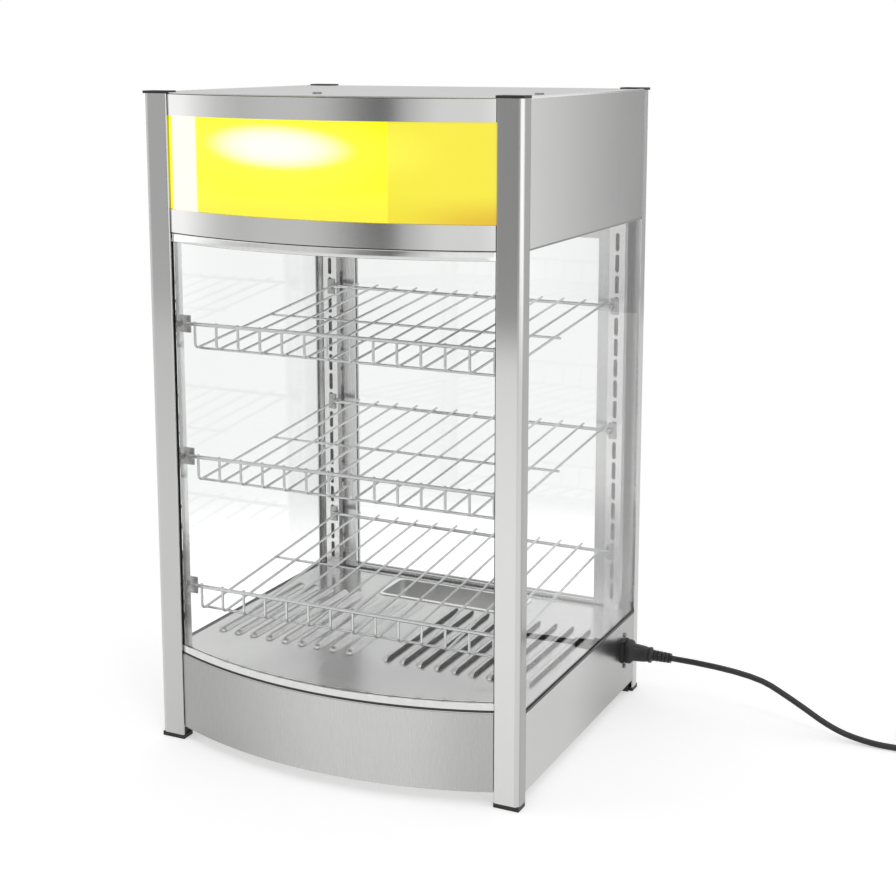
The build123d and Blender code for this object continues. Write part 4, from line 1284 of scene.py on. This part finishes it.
    def _plug(self) -> tuple[bpy.types.Object, bpy.types.Object]:
        """The moulded plug and its two pins."""
        end = self.route[-1]
        neck = end[0] + self.plug_relief
        face = neck + self.plug_body
        sections = self._relief(end[0], neck - self.relief_gap, self.plug_taper)
        sections += [Section(neck + x, radius, radius) for x, radius in self.plug_rows]
        mesh = loft("plug_body", sections, (end[1], end[2]), self.plug_facets)
        plug = new_piece("plug_body", mesh, Finishes.cord, "case")
        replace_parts(plug, "mains_plug")
        build = bmesh.new()
        for side in (-1, 1):
            pin = [Section(face + x, radius, radius) for x, radius in self.pin_rows]
            axis = (end[1] + side * self.pin_offset, end[2])
            part = loft("pin", pin, axis, self.pin_facets)
            build.from_mesh(part)
            bpy.data.meshes.remove(part)
        mesh = bpy.data.meshes.new("plug_pins")
        build.to_mesh(mesh)
        build.free()
        pins = new_piece("plug_pins", mesh, Finishes.screw, "case")
        return plug, pins


# Studio


@dataclass(frozen=True)
class Softbox:
    """A large soft light that faces a point. Its power is in watts."""

    name: str
    place: Point
    aim: Point
    size: Span
    power: float

    def build(self) -> None:
        """Hangs the light."""
        data = bpy.data.lights.new(self.name, "AREA")
        data.shape = "RECTANGLE"
        data.size, data.size_y = self.size
        data.energy = self.power
        light = add_object(self.name, data)
        light.location = self.place
        facing = Vector(self.aim) - Vector(self.place)
        light.rotation_euler = facing.to_track_quat("-Z", "Y").to_euler()


@dataclass
class Studio:
    """Camera, floor, white surround and soft lights.

    Metal sees the surround as a ring of lighter and darker panels about the horizon, each given by
    its bearing in degrees, from the front towards the right, and its level. The ring is no lighter
    than ring_cap and, above the horizon, than that less ring_drop. Higher up it gives way to the
    sky, which changes towards the zenith.
    """

    camera_place: Point = (0.861, -1.674, 0.806)
    yaw: float = 25.70
    pitch: float = 9.65
    lens: float = 64.77
    shift: float = -0.14
    sensor: float = 36.0
    view_end: float = 200.0
    floor_half: float = 3.0
    floor_tone: float = 0.8
    floor_lift: float = 0.43
    floor_fade: Span = (0.30, 1.10)
    mirrored_lift: float = 0.36
    ambient: float = 0.62
    sky: float = 0.78
    zenith: float = 0.85
    zenith_change: Span = (0.45, 0.90)
    sky_change: Span = (0.10, 0.22)
    ring_cap: float = 1.70
    ring_drop: float = 0.85
    drop_change: Span = (0.0, 0.06)
    lights: tuple[Softbox, ...] = (
        Softbox("key_light", (1.2, -1.5, 2.1), (0.0, 0.0, 0.35), (0.6, 0.6), 8.0),
        Softbox("fill_light", (-1.7, -0.9, 1.6), (0.0, 0.0, 0.35), (1.0, 1.3), 3.0),
        Softbox("top_light", (0.0, 0.3, 2.3), (0.0, 0.0, 0.4), (2.0, 2.0), 6.0),
    )
    surround: tuple[Span, ...] = (
        (-180.0, 0.50), (-170.0, 0.84), (-130.0, 0.84), (-110.0, 0.60), (-84.0, 0.55),
        (-80.0, 1.50), (-74.0, 1.45), (-66.0, 1.06), (-60.0, 0.82), (-52.0, 0.69),
        (-41.0, 0.76), (-32.0, 0.77), (-27.0, 0.71), (-23.0, 0.61), (-18.5, 0.44),
        (-14.0, 0.27), (-9.5, 0.19), (-6.5, 0.26), (-3.0, 0.60), (1.0, 0.80),
        (6.0, 1.03), (18.0, 1.05), (24.0, 1.70), (124.0, 1.70), (128.0, 0.60),
        (145.0, 0.80), (151.0, 1.20), (156.0, 1.20), (160.5, 0.42), (164.0, 0.20),
        (172.0, 0.30),
    )

    def build(self) -> None:
        """Sets the camera, then the surround and the lights."""
        scene = bpy.context.scene
        scene.view_settings.view_transform = "Standard"
        self._camera(scene)
        self._world(scene)
        self._floor()
        for light in self.lights:
            light.build()

    def _camera(self, scene: bpy.types.Scene) -> None:
        """Puts the camera where the photograph was taken from."""
        data = bpy.data.cameras.new("camera")
        data.lens = self.lens
        data.sensor_width = self.sensor
        data.shift_y = self.shift
        data.clip_end = self.view_end
        camera = add_object("camera", data)
        camera.location = self.camera_place
        camera.rotation_euler = (math.radians(90 - self.pitch), 0.0, math.radians(self.yaw))
        scene.camera = camera

    def _world(self, scene: bpy.types.Scene) -> None:
        """A plain white surround, which metal sees as the ring and the sky."""
        world = bpy.data.worlds.new("studio")
        scene.world = world
        world.use_nodes = True
        graph = Graph(world.node_tree)
        direction = graph.signal("ShaderNodeTexCoord", output="Generated")
        x, y, z = graph.axes(direction)
        heading = graph.signal("ShaderNodeMath", {"operation": "ARCTAN2"}, {0: x, 1: 0.0 - y})
        turn = heading / (2 * math.pi) + 0.5
        stops = [((bearing + 180.0) / 360.0, level) for bearing, level in self.surround]
        ring = graph.signal("ShaderNodeValToRGB", {"stops": stops}, {"Fac": turn})
        ring = ring.at_most(self.ring_cap - z.smooth(*self.drop_change) * self.ring_drop)
        sky = graph.mix(z.smooth(*self.zenith_change), (self.sky,) * 3, (self.zenith,) * 3)
        seen = graph.mix(z.smooth(*self.sky_change), ring, sky)
        plain, glossy = self._rays(graph)
        colour = graph.mix(glossy, (self.ambient,) * 3, seen)
        colour = graph.mix(plain, colour, WHITE)
        shader = graph.signal("ShaderNodeBackground", sockets={"Color": colour, "Strength": 1.0})
        graph.node("ShaderNodeOutputWorld", sockets={"Surface": shader})

    def _rays(self, graph: Graph) -> tuple[Signal, Signal]:
        """1 for what the camera sees directly or through glass, and 1 for what metal mirrors."""
        path = graph.node("ShaderNodeLightPath").outputs
        direct = Signal(graph, path["Is Camera Ray"]) + Signal(graph, path["Is Transmission Ray"])
        return direct.at_most(1.0), Signal(graph, path["Is Glossy Ray"])

    def _floor(self) -> None:
        """A plain white floor that keeps the case's soft shadow."""
        half = self.floor_half
        mesh = bpy.data.meshes.new("floor")
        corners = [(-half, -half, 0.0), (half, -half, 0.0), (half, half, 0.0), (-half, half, 0.0)]
        mesh.from_pydata(corners, [], [(0, 1, 2, 3)])
        add_object("floor", mesh)
        made = bpy.data.materials.new("studio_floor")
        made.use_nodes = True
        graph = Graph(made.node_tree)
        plain, glossy = self._rays(graph)
        x, y, _ = graph.axes(graph.place())
        matt = graph.signal("ShaderNodeBsdfDiffuse", sockets={"Color": opaque((self.floor_tone,) * 3)})
        strength = plain * self.floor_lift + glossy * self.mirrored_lift
        lift = graph.signal("ShaderNodeEmission", sockets={"Strength": strength})
        near = graph.signal("ShaderNodeAddShader", sockets={0: matt, 1: lift})
        white = graph.signal("ShaderNodeEmission", sockets={"Strength": 1.0})
        away = plain * (x * x + y * y).smooth(*self.floor_fade)
        graph.surface(graph.signal("ShaderNodeMixShader", sockets={"Fac": away, 1: near, 2: white}))
        mesh.materials.append(made)


def main() -> None:
    """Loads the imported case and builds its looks."""
    logging.basicConfig(level=logging.INFO, format="%(name)s: %(message)s")
    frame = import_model()
    nodes: Nodes = frame["nodes"]
    Studio().build()
    MainsLead().build()
    for part in (Frame(nodes), Base(nodes), Cabin(nodes), SignBox(nodes), Door(nodes), Controls(nodes)):
        part.build()


if __name__ == "__main__":
    main()
